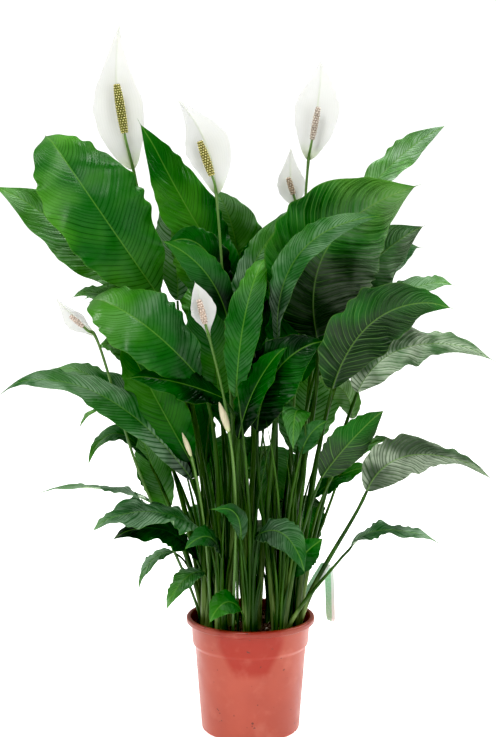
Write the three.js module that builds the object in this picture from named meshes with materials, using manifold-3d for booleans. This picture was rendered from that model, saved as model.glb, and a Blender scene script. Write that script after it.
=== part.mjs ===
// A peace lily (Spathiphyllum) in a round plastic nursery pot.
// Lengths are in millimetres, +Z is up, and the origin is the centre of the pot's flat base.
// The front of the plant looks along -Y.
import * as THREE from 'three';
import { mergeVertices } from 'three/addons/utils/BufferGeometryUtils.js';
import Module from 'manifold-3d';

const wasm = await Module();
wasm.setup();

// ---- Driving dimensions ---------------------------------------------------------------------

const GAP = 0.3; // clearance between two pieces that touch

const POT = {
  height: 190,
  wall: 1.6,
  baseRadius: 78.5,
  cornerRadius: 80.5, // the wall just above the rounded corner of the base
  stepRadius: 91, // the top of the tapered wall, under the collar
  collarLowRadius: 95,
  collarHighRadius: 97,
  lipRadius: 105,
  mouthRadius: 98,
  cornerHeight: 6,
  stepHeight: 140,
  collarHeight: 146,
  lipUnderHeight: 178,
  lipDropHeight: 180,
  sides: 28,
};

const DRAIN = { count: 8, width: 11, height: 5, depth: 9 }; // slots through the corner of the base

const SOIL = { top: 172, mound: 5 };

const CROWN = { radius: 12, tipRadius: 8, bottom: 150, shoulder: 171, top: 182, sides: 7, holeRadius: 17, holeSides: 6, footRing: 6 };

// Centres of the crowns, the short stocks that the leaf stalks spring from.
const CROWNS = {
  left: [-68, -22],
  front_left: [-45, -58],
  front: [0, -72],
  front_right: [46, -57],
  right: [69, -20],
  back_right: [64, 30],
  far_right: [38, 66],
  far: [-4, 71],
  far_left: [-44, 60],
  back_left: [-69, 22],
  middle_left: [-32, -8],
  middle_front: [6, -28],
  middle_right: [34, 8],
  middle_back: [-4, 34],
};

const USUAL_LENGTH = 250; // the length of a blade whose stalk has the usual radii
const BLADE = {
  thickness: 1.1,
  edgeThickness: 0.7,
  keel: 1.6,
  rows: [[220, 7], [130, 6], [0, 4]], // least length of a blade, and its rows
};

const STALK = { footRadius: 5.2, middleRadius: 3.8, heelRadius: 2.3, sides: 5, foot: 164, spans: 3 };

// Leaves, by crown. Each row holds the heel of the blade, the point that its midrib passes at
// half its length, its tip, its full width, the way its upper side faces there, its cupping, the
// height of its waved edge, and its twist from heel to tip in degrees.
const LEAVES = {
  left: [
    [[-95, -30, 450], [-152, -42, 558], [-205, -25, 658], 80, [-0.3, -0.9, 0.3], 0.35, 4, 10],
    [[-95, -20, 420], [-240, -67, 566], [-395, -90, 580], 66, [0.1, -0.6, 0.8], 0.3, 5, 60],
    [[-75, -45, 340], [-155, -105, 385], [-245, -140, 370], 88, [0.05, -0.3, 0.95], 0.15, 8, 0],
    [[-75, -50, 275], [-105, -80, 270], [-135, -90, 225], 36, [-0.2, -0.6, 0.7], 0.3, 2, 0],
    [[-85, -28, 290], [-140, -56, 345], [-218, -80, 340], 76, [0.1, -0.4, 0.9], 0.2, 5, 0],
  ],
  back_left: [
    [[-165, 25, 440], [-220, 25, 487], [-268, 15, 440], 36, [-0.3, -0.5, 0.8], 0.4, 2, 0],
    [[-150, 10, 370], [-230, 0, 400], [-350, -10, 400], 50, [0, 0.05, 1], 0.3, 3, 0],
    [[-125, 20, 290], [-160, 10, 280], [-185, 0, 235], 26, [-0.4, -0.5, 0.7], 0.3, 2, 0],
    [[-140, 35, 460], [-218, 30, 555], [-314, 20, 600], 60, [-0.1, -0.5, 0.8], 0.3, 4, 0],
    [[-180, 10, 585], [-215, 10, 630], [-245, 10, 630], 34, [0, -0.6, 0.8], 0.3, 2, 0],
    [[-135, 25, 360], [-160, 25, 430], [-180, 20, 490], 54, [-0.1, -0.9, 0.3], 0.3, 3, 0],
  ],
  front_left: [
    [[-80, -50, 588], [-172, -95, 683], [-266, 25, 711], 112, [-0.1, -0.8, 0.6], 0.25, 6, 0],
    [[-40, -50, 555], [-110, -85, 585], [-185, -110, 600], 64, [0, -0.7, 0.7], 0.2, 4, 0],
    [[-45, -62, 295], [-65, -94, 342], [-103, -114, 328], 40, [0, -0.7, 0.7], 0.3, 2, 0],
  ],
  front: [
    [[-15, -86, 335], [-25, -102, 383], [-60, -114, 388], 30, [-0.5, -0.8, 0.3], 0.4, 2, 0],
    [[5, -70, 335], [50, -105, 350], [85, -125, 295], 54, [0.1, -0.8, 0.6], 0.2, 3, 0],
    [[-23, -75, 560], [-8, -97, 695], [25, -20, 784], 54, [-0.2, -1, 0.2], 0.3, 4, 0],
    [[-19, -80, 496], [8, -105, 582], [55, -108, 648], 50, [-0.5, -0.8, 0.3], 0.4, 4, 0],
    [[-15, -84, 222], [-40, -108, 240], [-65, -116, 210], 42, [0, -0.8, 0.6], 0.2, 2, 0],
  ],
  front_right: [
    [[85, -85, 525], [70, -120, 545], [65, -140, 490], 42, [-0.1, -0.9, 0.4], 0.3, 2, 0],
    [[80, -70, 470], [95, -80, 505], [120, -85, 525], 30, [0.2, -0.8, 0.4], 0.3, 2, 0],
    [[60, -50, 265], [85, -60, 305], [115, -60, 330], 45, [0.3, -0.8, 0.4], 0.3, 2, 0],
    [[112, -80, 435], [152, -110, 494], [203, -130, 550], 58, [0.3, 0.8, 0.5], 0.3, 4, 0],
    [[10, -60, 505], [40, -100, 605], [110, -110, 655], 90, [-0.3, -0.9, 0.3], 0.3, 4, 0],
    [[160, -60, 320], [210, -80, 350], [300, -90, 335], 42, [0, -0.3, 0.95], 0.3, 4, 0],
  ],
  right: [
    [[183, -90, 415], [247, -130, 480], [370, -140, 454], 78, [0.1, 0.8, 0.55], 0.2, 5, 60],
    [[135, -50, 440], [185, -70, 485], [230, -90, 495], 40, [0.1, 0.4, 0.9], 0.3, 3, 0],
    [[127, -75, 575], [190, -130, 689], [300, -130, 713], 112, [0, 0.8, 0.6], 0.2, 5, 0],
    [[170, -22, 562], [245, -50, 638], [377, -75, 630], 90, [0, 0.7, 0.7], 0.2, 5, 20],
  ],
  back_right: [
    [[104, 6, 385], [143, 0, 420], [195, -12, 440], 45, [0, -0.5, 0.85], 0.3, 3, 0],
    [[165, 0, 515], [150, 10, 560], [105, 20, 580], 40, [-0.2, 0.9, 0.3], 0.3, 2, 0],
    [[185, -20, 675], [250, -30, 725], [315, -50, 740], 55, [0, -0.5, 0.85], 0.3, 3, 0],
    [[155, 60, 825], [228, 80, 920], [315, 80, 985], 54, [-0.2, -0.7, 0.6], 0.3, 4, 60],
  ],
  middle_left: [
    [[-160, 30, 660], [-225, 45, 708], [-290, 52, 713], 50, [0, -0.5, 0.85], 0.3, 3, 0],
    [[-35, 0, 705], [-75, 0, 790], [-130, -10, 800], 60, [0, -0.8, 0.6], 0.3, 4, 0],
    [[-35, -40, 675], [-70, -60, 755], [-135, -70, 805], 52, [-0.2, -0.8, 0.5], 0.5, 3, 0],
    [[-50, 30, 545], [-65, 35, 640], [-85, 40, 730], 80, [0, -0.9, 0.4], 0.3, 4, 0],
  ],
  middle_front: [
    [[43, -60, 642], [74, -104, 786], [196, -130, 847], 52, [-0.2, -0.8, 0.5], 0.6, 3, 30],
    [[-20, -12, 690], [10, -14, 775], [75, -32, 860], 50, [-0.4, -0.9, 0.3], 0.3, 3, 0],
  ],
  middle_right: [
    [[50, 12, 560], [85, 10, 680], [110, 15, 790], 104, [0, -0.9, 0.4], 0.3, 5, 0],
    [[143, 0, 707], [193, -10, 769], [270, 0, 826], 96, [-0.1, 0.9, 0.4], 0.3, 5, 0],
    [[106, -30, 650], [122, -60, 798], [252, -30, 886], 172, [0.2, 0.9, 0.3], 0.15, 8, 0],
  ],
  middle_back: [
    [[-25, 28, 735], [-100, 34, 850], [-170, 20, 985], 90, [0.2, -0.9, 0.4], 0.3, 5, 0],
    [[-45, 62, 690], [-80, 62, 780], [-110, 55, 870], 96, [0, -0.9, 0.4], 0.3, 4, 0],
    [[-20, 80, 700], [-25, 80, 800], [-55, 72, 880], 92, [0, -0.9, 0.4], 0.3, 4, 0],
    [[5, 45, 690], [10, 45, 765], [25, 35, 815], 56, [0, -0.9, 0.4], 0.3, 3, 0],
    [[10, 50, 520], [25, 64, 620], [50, 70, 720], 90, [0, -0.9, 0.4], 0.3, 4, 0],
  ],
  far_left: [
    [[-150, 20, 715], [-252, -15, 870], [-338, 90, 980], 150, [0.2, -0.9, 0.3], 0.3, 7, 0],
    [[-180, 60, 715], [-285, 70, 805], [-410, 60, 890], 100, [-0.1, -0.75, 0.65], 0.3, 6, 0],
    [[-120, 75, 700], [-125, 76, 790], [-145, 74, 860], 60, [0, -0.9, 0.4], 0.3, 4, 0],
    [[-110, 120, 560], [-190, 180, 680], [-290, 220, 700], 95, [-0.3, -0.1, 0.95], 0.3, 5, 0],
    [[-130, 90, 420], [-210, 140, 510], [-300, 180, 480], 70, [-0.2, 0.1, 0.95], 0.3, 4, 0],
    [[-95, 85, 400], [-110, 105, 500], [-125, 140, 600], 95, [0, -0.9, 0.45], 0.3, 5, 0],
  ],
  far: [
    [[-60, 150, 600], [-80, 230, 720], [-110, 320, 740], 105, [0, -0.2, 0.95], 0.3, 5, 0],
    [[-25, 112, 470], [-25, 140, 610], [0, 175, 730], 116, [0, -0.9, 0.45], 0.3, 5, 0],
    [[-22, 118, 470], [-40, 165, 405], [-52, 180, 262], 95, [-0.2, 0.9, 0.5], 0.25, 5, 0],
    [[-55, 115, 350], [-72, 150, 310], [-80, 158, 212], 80, [-0.2, 0.9, 0.5], 0.25, 4, 0],
    [[28, 120, 450], [45, 165, 385], [52, 178, 240], 95, [0.2, 0.9, 0.5], 0.25, 5, 0],
    [[5, 120, 320], [5, 150, 288], [0, 160, 198], 80, [0, 0.9, 0.5], 0.25, 4, 0],
  ],
  far_right: [
    [[50, 150, 640], [65, 225, 770], [75, 310, 830], 110, [0, -0.3, 0.9], 0.3, 5, 0],
    [[90, 140, 560], [140, 215, 670], [200, 290, 680], 95, [0, -0.1, 0.95], 0.3, 5, 0],
    [[130, 100, 620], [205, 150, 740], [290, 190, 790], 100, [0, -0.3, 0.9], 0.3, 5, 0],
    [[78, 110, 365], [88, 140, 325], [92, 150, 225], 80, [0.2, 0.9, 0.5], 0.25, 4, 0],
    [[80, 88, 440], [100, 112, 560], [120, 150, 665], 110, [0, -0.9, 0.45], 0.3, 5, 0],
  ],
};

// Flowers. Each row holds the foot of the scape, a point half way up it, the node that carries
// the spathe, the point that the spathe's midrib passes at half its length, its tip, its full
// width, the way its inner side faces, its cupping, the base and the top of the spadix, and the
// spadix's radius.
const FLOWERS = {
  tall_left: [[-52, 24], [-112, 40, 540], [-190, 60, 915], [-215, 64, 1025], [-210, 60, 1145], 80,
    [0.1, -1, 0.1], 0.4, [-202, 42, 972], [-214, 40, 1050], 7.5],
  centre_left: [[-13, 4], [-30, -14, 520], [-54, -28, 877], [-71, -24, 957], [-113, -28, 1022], 72,
    [0.1, -1, 0.2], 0.4, [-60, -46, 905], [-79, -46, 959], 6.5],
  tall_right: [[58, 4], [72, 52, 540], [95, 90, 930], [110, 94, 1020], [115, 90, 1090], 72,
    [0, -1, 0.1], 0.4, [100, 72, 962], [110, 72, 1015], 5],
  small_right: [[16, 50], [40, 88, 510], [75, 114, 857], [67, 116, 896], [67, 114, 949], 46,
    [0, -1, 0.1], 0.4, [71, 102, 873], [62, 100, 901], 4.5],
  low_centre: [[-20, -46], [-32, -68, 500], [-65, -80, 658], [-74, -78, 700], [-86, -80, 741], 40,
    [0.1, -1, 0.1], 0.5, [-70, -94, 678], [-80, -94, 716], 5],
  low_left: [[-82, 0], [-182, -22, 440], [-248, -36, 657], [-276, -34, 682], [-307, -36, 713], 40,
    [-0.3, -0.8, -0.5], 0.5, [-263, -48, 669], [-283, -52, 687], 4],
};

// Unopened flowers. Each row holds the foot of the scape, the base and the tip of the rolled
// spathe, and its greatest radius.
const BUDS = {
  centre: [[-28, -76], [-34, -90, 509], [-49, -92, 556], 6],
  left: [[-61, -47], [-93, -80, 468], [-107, -82, 506], 4],
};

const SPATHE = { thickness: 0.9, rows: 7 };
const SCAPE = {
  foot: 155,
  upright: 40, // how far it rises straight, to clear the pot's rim
  neck: 10, // the straight stretch under the spadix
  footRadius: 3.2,
  endRadius: 2.4,
  nodeRadius: 2.7,
  sides: 5,
  shares: [0, 0.2, 0.3, 0.4, 0.5, 0.6, 0.8, 1], // where its rings stand; the node is at 0.6
};
const SPADIX = { sides: 8, rows: 9, relief: 0.12 };

// The plant label: a strip of card that leans out of the soil, folds over and hangs down.
const LABEL = {
  foot: [75, 1], // where the middle of the strip stands
  lean: [0.8, 0.6], // the way that it leans
  width: 24,
  thickness: 0.8,
  path: [[0, 158], [9, 195], [60, 262], [64, 266], [68, 262], [74, 166]], // distance along the lean, height
};

// ---- Solids from rings of points -------------------------------------------------------------

// A closed solid whose surface runs through rings of points. Each ring lists its points by the
// angle at which they stand round the ring's middle, so two rings may have unlike counts.
function solidThroughRings(rings) {
  const points = [];
  const triangles = [];
  const starts = [];
  for (const ring of rings) {
    starts.push(points.length / 3);
    for (const vertex of ring) points.push(vertex.at.x, vertex.at.y, vertex.at.z);
  }
  for (let k = 0; k + 1 < rings.length; k++) {
    joinRings(rings[k], starts[k], rings[k + 1], starts[k + 1], triangles);
  }
  capRing(rings[0], starts[0], false, points, triangles);
  capRing(rings.at(-1), starts.at(-1), true, points, triangles);
  return new wasm.Manifold(new wasm.Mesh({
    numProp: 3,
    vertProperties: new Float32Array(points),
    triVerts: new Uint32Array(triangles),
  }));
}

function joinRings(lower, lowerStart, upper, upperStart, triangles) {
  let i = 0;
  let j = 0;
  while (i < lower.length || j < upper.length) {
    const a = lowerStart + (i % lower.length);
    const b = upperStart + (j % upper.length);
    const nextLower = i < lower.length ? lower[(i + 1) % lower.length].angle + (i + 1 >= lower.length ? 1 : 0) : 9;
    const nextUpper = j < upper.length ? upper[(j + 1) % upper.length].angle + (j + 1 >= upper.length ? 1 : 0) : 9;
    // Between like rings each half turn has its own diagonals, so a blade's two faces are cut alike.
    const lowerFirst = nextLower === nextUpper ? nextLower < 0.5 : nextLower < nextUpper;
    if (lowerFirst) {
      triangles.push(a, b, lowerStart + ((i + 1) % lower.length));
      i++;
    } else {
      triangles.push(a, b, upperStart + ((j + 1) % upper.length));
      j++;
    }
  }
}

function capRing(ring, start, closesEnd, points, triangles) {
  const middle = new THREE.Vector3();
  for (const vertex of ring) middle.add(vertex.at);
  middle.divideScalar(ring.length);
  const centre = points.length / 3;
  points.push(middle.x, middle.y, middle.z);
  for (let k = 0; k < ring.length; k++) {
    const a = start + k;
    const b = start + ((k + 1) % ring.length);
    if (closesEnd) triangles.push(b, a, centre);
    else triangles.push(a, b, centre);
  }
}

function geometryOf(solid) {
  const mesh = solid.getMesh();
  const geometry = new THREE.BufferGeometry();
  geometry.setAttribute('position', new THREE.BufferAttribute(new Float32Array(mesh.vertProperties), 3));
  geometry.setIndex(new THREE.BufferAttribute(new Uint32Array(mesh.triVerts), 1));
  geometry.computeVertexNormals();
  return geometry;
}

function solidOf(geometry) {
  geometry.deleteAttribute('uv');
  geometry.deleteAttribute('normal');
  const merged = mergeVertices(geometry, 1e-3);
  return new wasm.Manifold(new wasm.Mesh({
    numProp: 3,
    vertProperties: new Float32Array(merged.attributes.position.array),
    triVerts: new Uint32Array(merged.index.array),
  }));
}

// A solid turned from a profile of [radius, height] points.
function turned(profile, sides) {
  const points = profile.map(([radius, height]) => new THREE.Vector2(radius, height));
  return solidOf(new THREE.LatheGeometry(points, sides).rotateX(Math.PI / 2));
}

// ---- Curves and frames -------------------------------------------------------------------------

const vector = (list) => new THREE.Vector3(...list);
const FRONT = new THREE.Vector3(0, -1, 0);

// The midrib's curve: it starts at the heel, passes the crest at half way and ends at the tip.
function ribCurve(heel, crest, tip) {
  const pull = crest.clone().multiplyScalar(2).sub(heel.clone().add(tip).multiplyScalar(0.5));
  return new THREE.QuadraticBezierCurve3(heel, pull, tip);
}

// A stalk's curve from its foot up to its end, where it runs in the given direction.
function stalkCurve(foot, end, direction) {
  const chord = end.clone().sub(foot);
  const reach = chord.length();
  const along = chord.divideScalar(reach);
  const leaving = along.clone().add(new THREE.Vector3(0, 0, 1)).normalize();
  const arriving = along.clone().multiplyScalar(0.4).addScaledVector(direction, 0.6).normalize();
  const low = foot.clone().addScaledVector(leaving, reach * 0.33);
  const high = end.clone().addScaledVector(arriving, -reach * 0.3);
  return new THREE.CubicBezierCurve3(foot, low, high, end);
}

const squareTo = (way, tangent) => way.clone().addScaledVector(tangent, -way.dot(tangent)).normalize();

const FRAME_STEPS = 24;

// Directions square to a curve, carried along it without turning, from the one at startStep.
function carriedNormals(curve, startStep, startNormal) {
  const normals = new Array(FRAME_STEPS + 1);
  normals[startStep] = squareTo(startNormal, curve.getTangent(startStep / FRAME_STEPS));
  for (let k = startStep + 1; k <= FRAME_STEPS; k++) {
    normals[k] = squareTo(normals[k - 1], curve.getTangent(k / FRAME_STEPS));
  }
  for (let k = startStep - 1; k >= 0; k--) {
    normals[k] = squareTo(normals[k + 1], curve.getTangent(k / FRAME_STEPS));
  }
  return normals;
}

function normalAt(normals, u) {
  const place = Math.min(u * FRAME_STEPS, FRAME_STEPS - 1e-6);
  const k = Math.floor(place);
  return normals[k].clone().lerp(normals[k + 1], place - k).normalize();
}

// ---- Blades and stalks ---------------------------------------------------------------------------

// Half width along a blade as a share of its greatest: round at the heel, drawn out at the tip.
function outline(u) {
  return Math.sin(Math.PI * u ** 0.85) ** 0.75 * (1 - 0.5 * u ** 10);
}

const ACROSS = [1, 0.5, 0, -0.5, -1];

// One ring of a blade, its upper side first and then its underside, with a keel under the rib.
function bladeRing(rib, normals, blade, u) {
  const tangent = rib.getTangent(u);
  const turn = THREE.MathUtils.degToRad(blade.twist) * (u - 0.5);
  const normal = normalAt(normals, u).applyAxisAngle(tangent, turn);
  const side = tangent.clone().cross(normal);
  const middle = rib.getPoint(u);
  const half = Math.hypot(blade.heelRadius * (1 - u), (outline(u) * blade.width) / 2);
  const wavePhase = 2 * Math.PI * (blade.waves * u + blade.phase);
  const upper = ACROSS.map((t) => {
    const fold = half * (blade.cup * Math.abs(t) - blade.droop * t * t);
    const wave = blade.wave * t * t * outline(u) * Math.sin(wavePhase + (t > 0 ? 0 : 2));
    return middle.clone().addScaledVector(side, half * t).addScaledVector(normal, fold + wave);
  });
  const lower = upper.map((point, k) => {
    const inner = 1 - Math.abs(ACROSS[k]);
    const keel = inner === 1 ? blade.keel * (1 - u) : 0;
    const depth = THREE.MathUtils.lerp(BLADE.edgeThickness, blade.thickness, inner) + keel;
    return point.clone().addScaledVector(normal, -depth);
  });
  const ring = upper.map((at, k) => ({ at, angle: 0.02 + 0.115 * k }));
  lower.reverse().forEach((at, k) => ring.push({ at, angle: 0.52 + 0.115 * k }));
  return ring;
}

function bladeRings(rib, normals, blade, rows) {
  const rings = [];
  for (let k = 0; k < rows; k++) {
    rings.push(bladeRing(rib, normals, blade, 0.01 + 0.97 * (k / (rows - 1)) ** 0.95));
  }
  return rings;
}

function roundRing(middle, side, normal, radiusAt, sides) {
  const ring = [];
  for (let k = 0; k < sides; k++) {
    const turn = (2 * Math.PI * k) / sides;
    const at = middle.clone().addScaledVector(side, radiusAt(k) * Math.cos(turn));
    ring.push({ at: at.addScaledVector(normal, radiusAt(k) * Math.sin(turn)), angle: k / sides });
  }
  return ring;
}

// Rings up a stalk; radiusAt gives the radius at a share of its length.
function stalkRings(curve, endNormal, radiusAt, sides, shares) {
  const normals = carriedNormals(curve, FRAME_STEPS, endNormal);
  return shares.map((u) => {
    const normal = normalAt(normals, u);
    const side = curve.getTangent(u).cross(normal);
    return roundRing(curve.getPoint(u), side, normal, () => radiusAt(u), sides);
  });
}

const evenShares = (count, last) => Array.from({ length: count }, (_, k) => (last * k) / (count - 1));

// A leaf as one solid: its stalk from the crown, and its cupped and waved blade.
function leafSolid(crown, row, number) {
  const [heelAt, crestAt, tipAt, width, face, cup, wave, twist] = row;
  const heel = vector(heelAt);
  const crest = vector(crestAt);
  const length = heel.distanceTo(crest) + crest.distanceTo(vector(tipAt));
  const vigour = Math.sqrt(length / USUAL_LENGTH);
  const rib = ribCurve(heel, crest, vector(tipAt));
  const blade = {
    width, cup, wave, twist,
    droop: 0.1 + 0.5 * cup,
    waves: 2.5,
    phase: 0.37 * number,
    thickness: BLADE.thickness,
    keel: BLADE.keel * vigour,
    heelRadius: STALK.heelRadius * vigour,
  };
  const normals = carriedNormals(rib, FRAME_STEPS / 2, vector(face));
  const away = heel.clone().sub(new THREE.Vector3(crown[0], crown[1], heel.z)).normalize();
  const foot = new THREE.Vector3(crown[0], crown[1], STALK.foot).addScaledVector(away, CROWN.footRing);
  const stalk = stalkCurve(foot, heel, rib.getTangent(0));
  const radiusAt = (u) => vigour * (u < 0.5
    ? THREE.MathUtils.lerp(STALK.footRadius, STALK.middleRadius, 2 * u)
    : THREE.MathUtils.lerp(STALK.middleRadius, STALK.heelRadius, 2 * u - 1));
  const rows = BLADE.rows.find(([least]) => length >= least)[1];
  return solidThroughRings([
    ...stalkRings(stalk, normals[0], radiusAt, STALK.sides, evenShares(STALK.spans, 1 - 1 / STALK.spans)),
    ...bladeRings(rib, normals, blade, rows),
  ]);
}

// The stock that the stalks of one crown spring from, sunk in the soil.
function crownStock([x, y]) {
  const profile = [
    [0, CROWN.bottom],
    [CROWN.radius, CROWN.bottom],
    [CROWN.radius, CROWN.shoulder],
    [CROWN.tipRadius, CROWN.top],
    [0, CROWN.top + 2],
  ];
  return turned(profile, CROWN.sides).translate([x, y, 0]);
}

function crownSolid(centre, rows) {
  return rows.reduce((solid, row, number) => solid.add(leafSolid(centre, row, number)), crownStock(centre));
}

// ---- Flowers ----------------------------------------------------------------------------------------

// The scape: it rises from the soil, passes the node that carries the spathe, and ends just
// under the spadix.
function scapeCurve([x, y], halfWay, node, spadixBase, spadixTop) {
  const start = new THREE.Vector3(x, y, SCAPE.foot);
  const clearOfRim = start.clone().lerp(halfWay, 0.03).setZ(SCAPE.foot + SCAPE.upright);
  const axis = spadixTop.clone().sub(spadixBase).normalize();
  const neck = spadixBase.clone().addScaledVector(axis, -SCAPE.neck);
  return new THREE.CatmullRomCurve3([start, clearOfRim, halfWay, node, neck, spadixBase]);
}

function scapeSolid(curve) {
  const radiusAt = (u) => THREE.MathUtils.lerp(SCAPE.footRadius, SCAPE.endRadius, u);
  return solidThroughRings(stalkRings(curve, FRONT, radiusAt, SCAPE.sides, SCAPE.shares));
}

// A spathe: a blade whose base stands just behind the scape.
function spatheSolid(node, crestAt, tipAt, width, face, cup) {
  const inner = vector(face).normalize();
  const base = node.clone().addScaledVector(inner, -SCAPE.nodeRadius - GAP);
  const rib = ribCurve(base, vector(crestAt), vector(tipAt));
  const normals = carriedNormals(rib, FRAME_STEPS / 2, inner);
  const blade = {
    width, cup, wave: 2, twist: 0, droop: 0.1, waves: 1.5, phase: 0,
    thickness: SPATHE.thickness, keel: 0, heelRadius: SCAPE.endRadius,
  };
  return solidThroughRings(bladeRings(rib, normals, blade, SPATHE.rows));
}

// A spadix: a blunt rod covered with small round florets in staggered rows.
function spadixSolid(base, top, radius) {
  const axis = top.clone().sub(base);
  const tangent = axis.clone().normalize();
  const normal = squareTo(FRONT, tangent);
  const side = tangent.clone().cross(normal);
  const start = base.clone().addScaledVector(tangent, GAP);
  const rings = [];
  for (let row = 0; row < SPADIX.rows; row++) {
    const share = row / (SPADIX.rows - 1);
    const swell = Math.sin(Math.PI * (0.12 + 0.8 * share)) ** 0.4 * radius;
    const radiusAt = (k) => swell * (1 + ((row + k) % 2 ? SPADIX.relief : -SPADIX.relief));
    rings.push(roundRing(start.clone().addScaledVector(axis, share), side, normal, radiusAt, SPADIX.sides));
  }
  return solidThroughRings(rings);
}

// A bud: a spathe still rolled round its spadix, drawn out to a point.
function budSolid(base, tip, radius) {
  const axis = tip.clone().sub(base);
  const tangent = axis.clone().normalize();
  const normal = squareTo(FRONT, tangent);
  const side = tangent.clone().cross(normal);
  const start = base.clone().addScaledVector(tangent, GAP);
  const rings = evenShares(7, 1).map((u) => {
    const swell = Math.max(0.8, radius * outline(Math.min(0.97, u * 0.9 + 0.06)));
    return roundRing(start.clone().addScaledVector(axis, u), side, normal, () => swell, 8);
  });
  return solidThroughRings(rings);
}

// ---- Pot, soil and label --------------------------------------------------------------------------

const taperRadius = (z) => THREE.MathUtils.mapLinear(z, POT.cornerHeight, POT.stepHeight,
  POT.cornerRadius, POT.stepRadius);

function potSolid() {
  const { wall } = POT;
  const outside = [
    [0, 0],
    [POT.baseRadius, 0],
    [POT.cornerRadius - 0.4, 2.5],
    [POT.cornerRadius, POT.cornerHeight],
    [POT.stepRadius, POT.stepHeight],
    [POT.collarLowRadius, POT.collarHeight],
    [POT.collarHighRadius, POT.lipUnderHeight],
    [POT.lipRadius - 1.5, POT.lipDropHeight],
    [POT.lipRadius, POT.lipDropHeight + 2],
    [POT.lipRadius, POT.height - 3],
    [POT.lipRadius - 2.5, POT.height],
  ];
  const inside = [
    [POT.mouthRadius, POT.height],
    [POT.collarHighRadius - wall, POT.lipUnderHeight],
    [POT.collarLowRadius - wall, POT.collarHeight + 1],
    [POT.stepRadius - wall, POT.stepHeight + 1],
    [POT.cornerRadius - wall, POT.cornerHeight],
    [POT.baseRadius - 4, wall],
    [0, wall],
  ];
  let pot = turned([...outside, ...inside], POT.sides);
  for (let k = 0; k < DRAIN.count; k++) {
    const turn = (2 * Math.PI * (k + 0.5)) / DRAIN.count;
    const slot = new THREE.BoxGeometry(DRAIN.depth, DRAIN.width, 2 * DRAIN.height)
      .translate(POT.baseRadius + 1, 0, 0).rotateZ(turn);
    pot = pot.subtract(solidOf(slot));
  }
  return pot;
}

function soilSolid() {
  const clear = POT.wall + GAP;
  const profile = [
    [0, clear],
    [POT.baseRadius - 5.5, clear],
    [POT.cornerRadius - clear - 1, POT.cornerHeight + 2],
    [POT.stepRadius - clear, POT.stepHeight],
    [POT.stepRadius - clear, POT.stepHeight + 2],
    [POT.collarLowRadius - clear, POT.collarHeight + 4],
    [taperRadius(SOIL.top) - 0.5, SOIL.top],
    [60, SOIL.top + 1.5],
    [30, SOIL.top + SOIL.mound - 1],
    [0, SOIL.top + SOIL.mound],
  ];
  let soil = turned(profile, POT.sides);
  const hole = (x, y, radius, bottom, sides) => {
    const drill = new THREE.CylinderGeometry(radius, radius, 60, sides).rotateX(Math.PI / 2);
    soil = soil.subtract(solidOf(drill.translate(x, y, bottom + 30)));
  };
  for (const [x, y] of Object.values(CROWNS)) hole(x, y, CROWN.holeRadius, CROWN.bottom - GAP, CROWN.holeSides);
  for (const [foot] of [...Object.values(FLOWERS), ...Object.values(BUDS)]) {
    hole(foot[0], foot[1], SCAPE.footRadius + 3, SCAPE.foot - GAP, 5);
  }
  const slot = new THREE.BoxGeometry(12, LABEL.width + 2, 60).translate(4, 0, LABEL.path[0][1] + 29)
    .rotateZ(Math.atan2(LABEL.lean[1], LABEL.lean[0])).translate(LABEL.foot[0], LABEL.foot[1], 0);
  return soil.subtract(solidOf(slot));
}

// The label's side view, thickened on one side, drawn out over its width.
function labelSolid() {
  const route = LABEL.path.map(([along, height]) => new THREE.Vector2(along, height));
  const back = route.map((point, k) => {
    const before = route[Math.max(0, k - 1)];
    const after = route[Math.min(route.length - 1, k + 1)];
    const way = after.clone().sub(before).normalize();
    return point.clone().add(new THREE.Vector2(way.y, -way.x).multiplyScalar(LABEL.thickness));
  });
  const shape = new THREE.Shape([...route, ...back.reverse()]);
  const strip = new THREE.ExtrudeGeometry(shape, { depth: LABEL.width, bevelEnabled: false });
  strip.translate(0, 0, -LABEL.width / 2).rotateX(Math.PI / 2);
  strip.rotateZ(Math.atan2(LABEL.lean[1], LABEL.lean[0])).translate(LABEL.foot[0], LABEL.foot[1], 0);
  return solidOf(strip);
}

// ---- The plant ----------------------------------------------------------------------------------------

const material = (colour, roughness) => new THREE.MeshStandardMaterial({ color: colour, roughness, metalness: 0 });

const LOOKS = {
  pot: material(0xc4573f, 0.35),
  soil: material(0x2e221a, 0.95),
  label: material(0x9fd0ac, 0.5),
  leaf: material(0x2c6a2a, 0.4),
  scape: material(0x6f9a4a, 0.45),
  spathe: material(0xf3f4ec, 0.5),
  spadix: material(0xcfc98a, 0.7),
  bud: material(0xe3ead0, 0.5),
};

const plant = new THREE.Group();
plant.name = 'potted_peace_lily';

function place(name, solid, look) {
  const mesh = new THREE.Mesh(geometryOf(solid), LOOKS[look]);
  mesh.name = name;
  plant.add(mesh);
}

place('pot', potSolid(), 'pot');
place('soil', soilSolid(), 'soil');
place('label', labelSolid(), 'label');

for (const [name, rows] of Object.entries(LEAVES)) {
  place(`crown_${name}`, crownSolid(CROWNS[name], rows), 'leaf');
}

for (const [name, row] of Object.entries(FLOWERS)) {
  const [foot, halfWay, nodeAt, crest, tip, width, face, cup, spadixBase, spadixTop, radius] = row;
  const node = vector(nodeAt);
  const scape = scapeCurve(foot, vector(halfWay), node, vector(spadixBase), vector(spadixTop));
  place(`scape_${name}`, scapeSolid(scape), 'scape');
  place(`spathe_${name}`, spatheSolid(node, crest, tip, width, face, cup), 'spathe');
  place(`spadix_${name}`, spadixSolid(vector(spadixBase), vector(spadixTop), radius), 'spadix');
}

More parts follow.
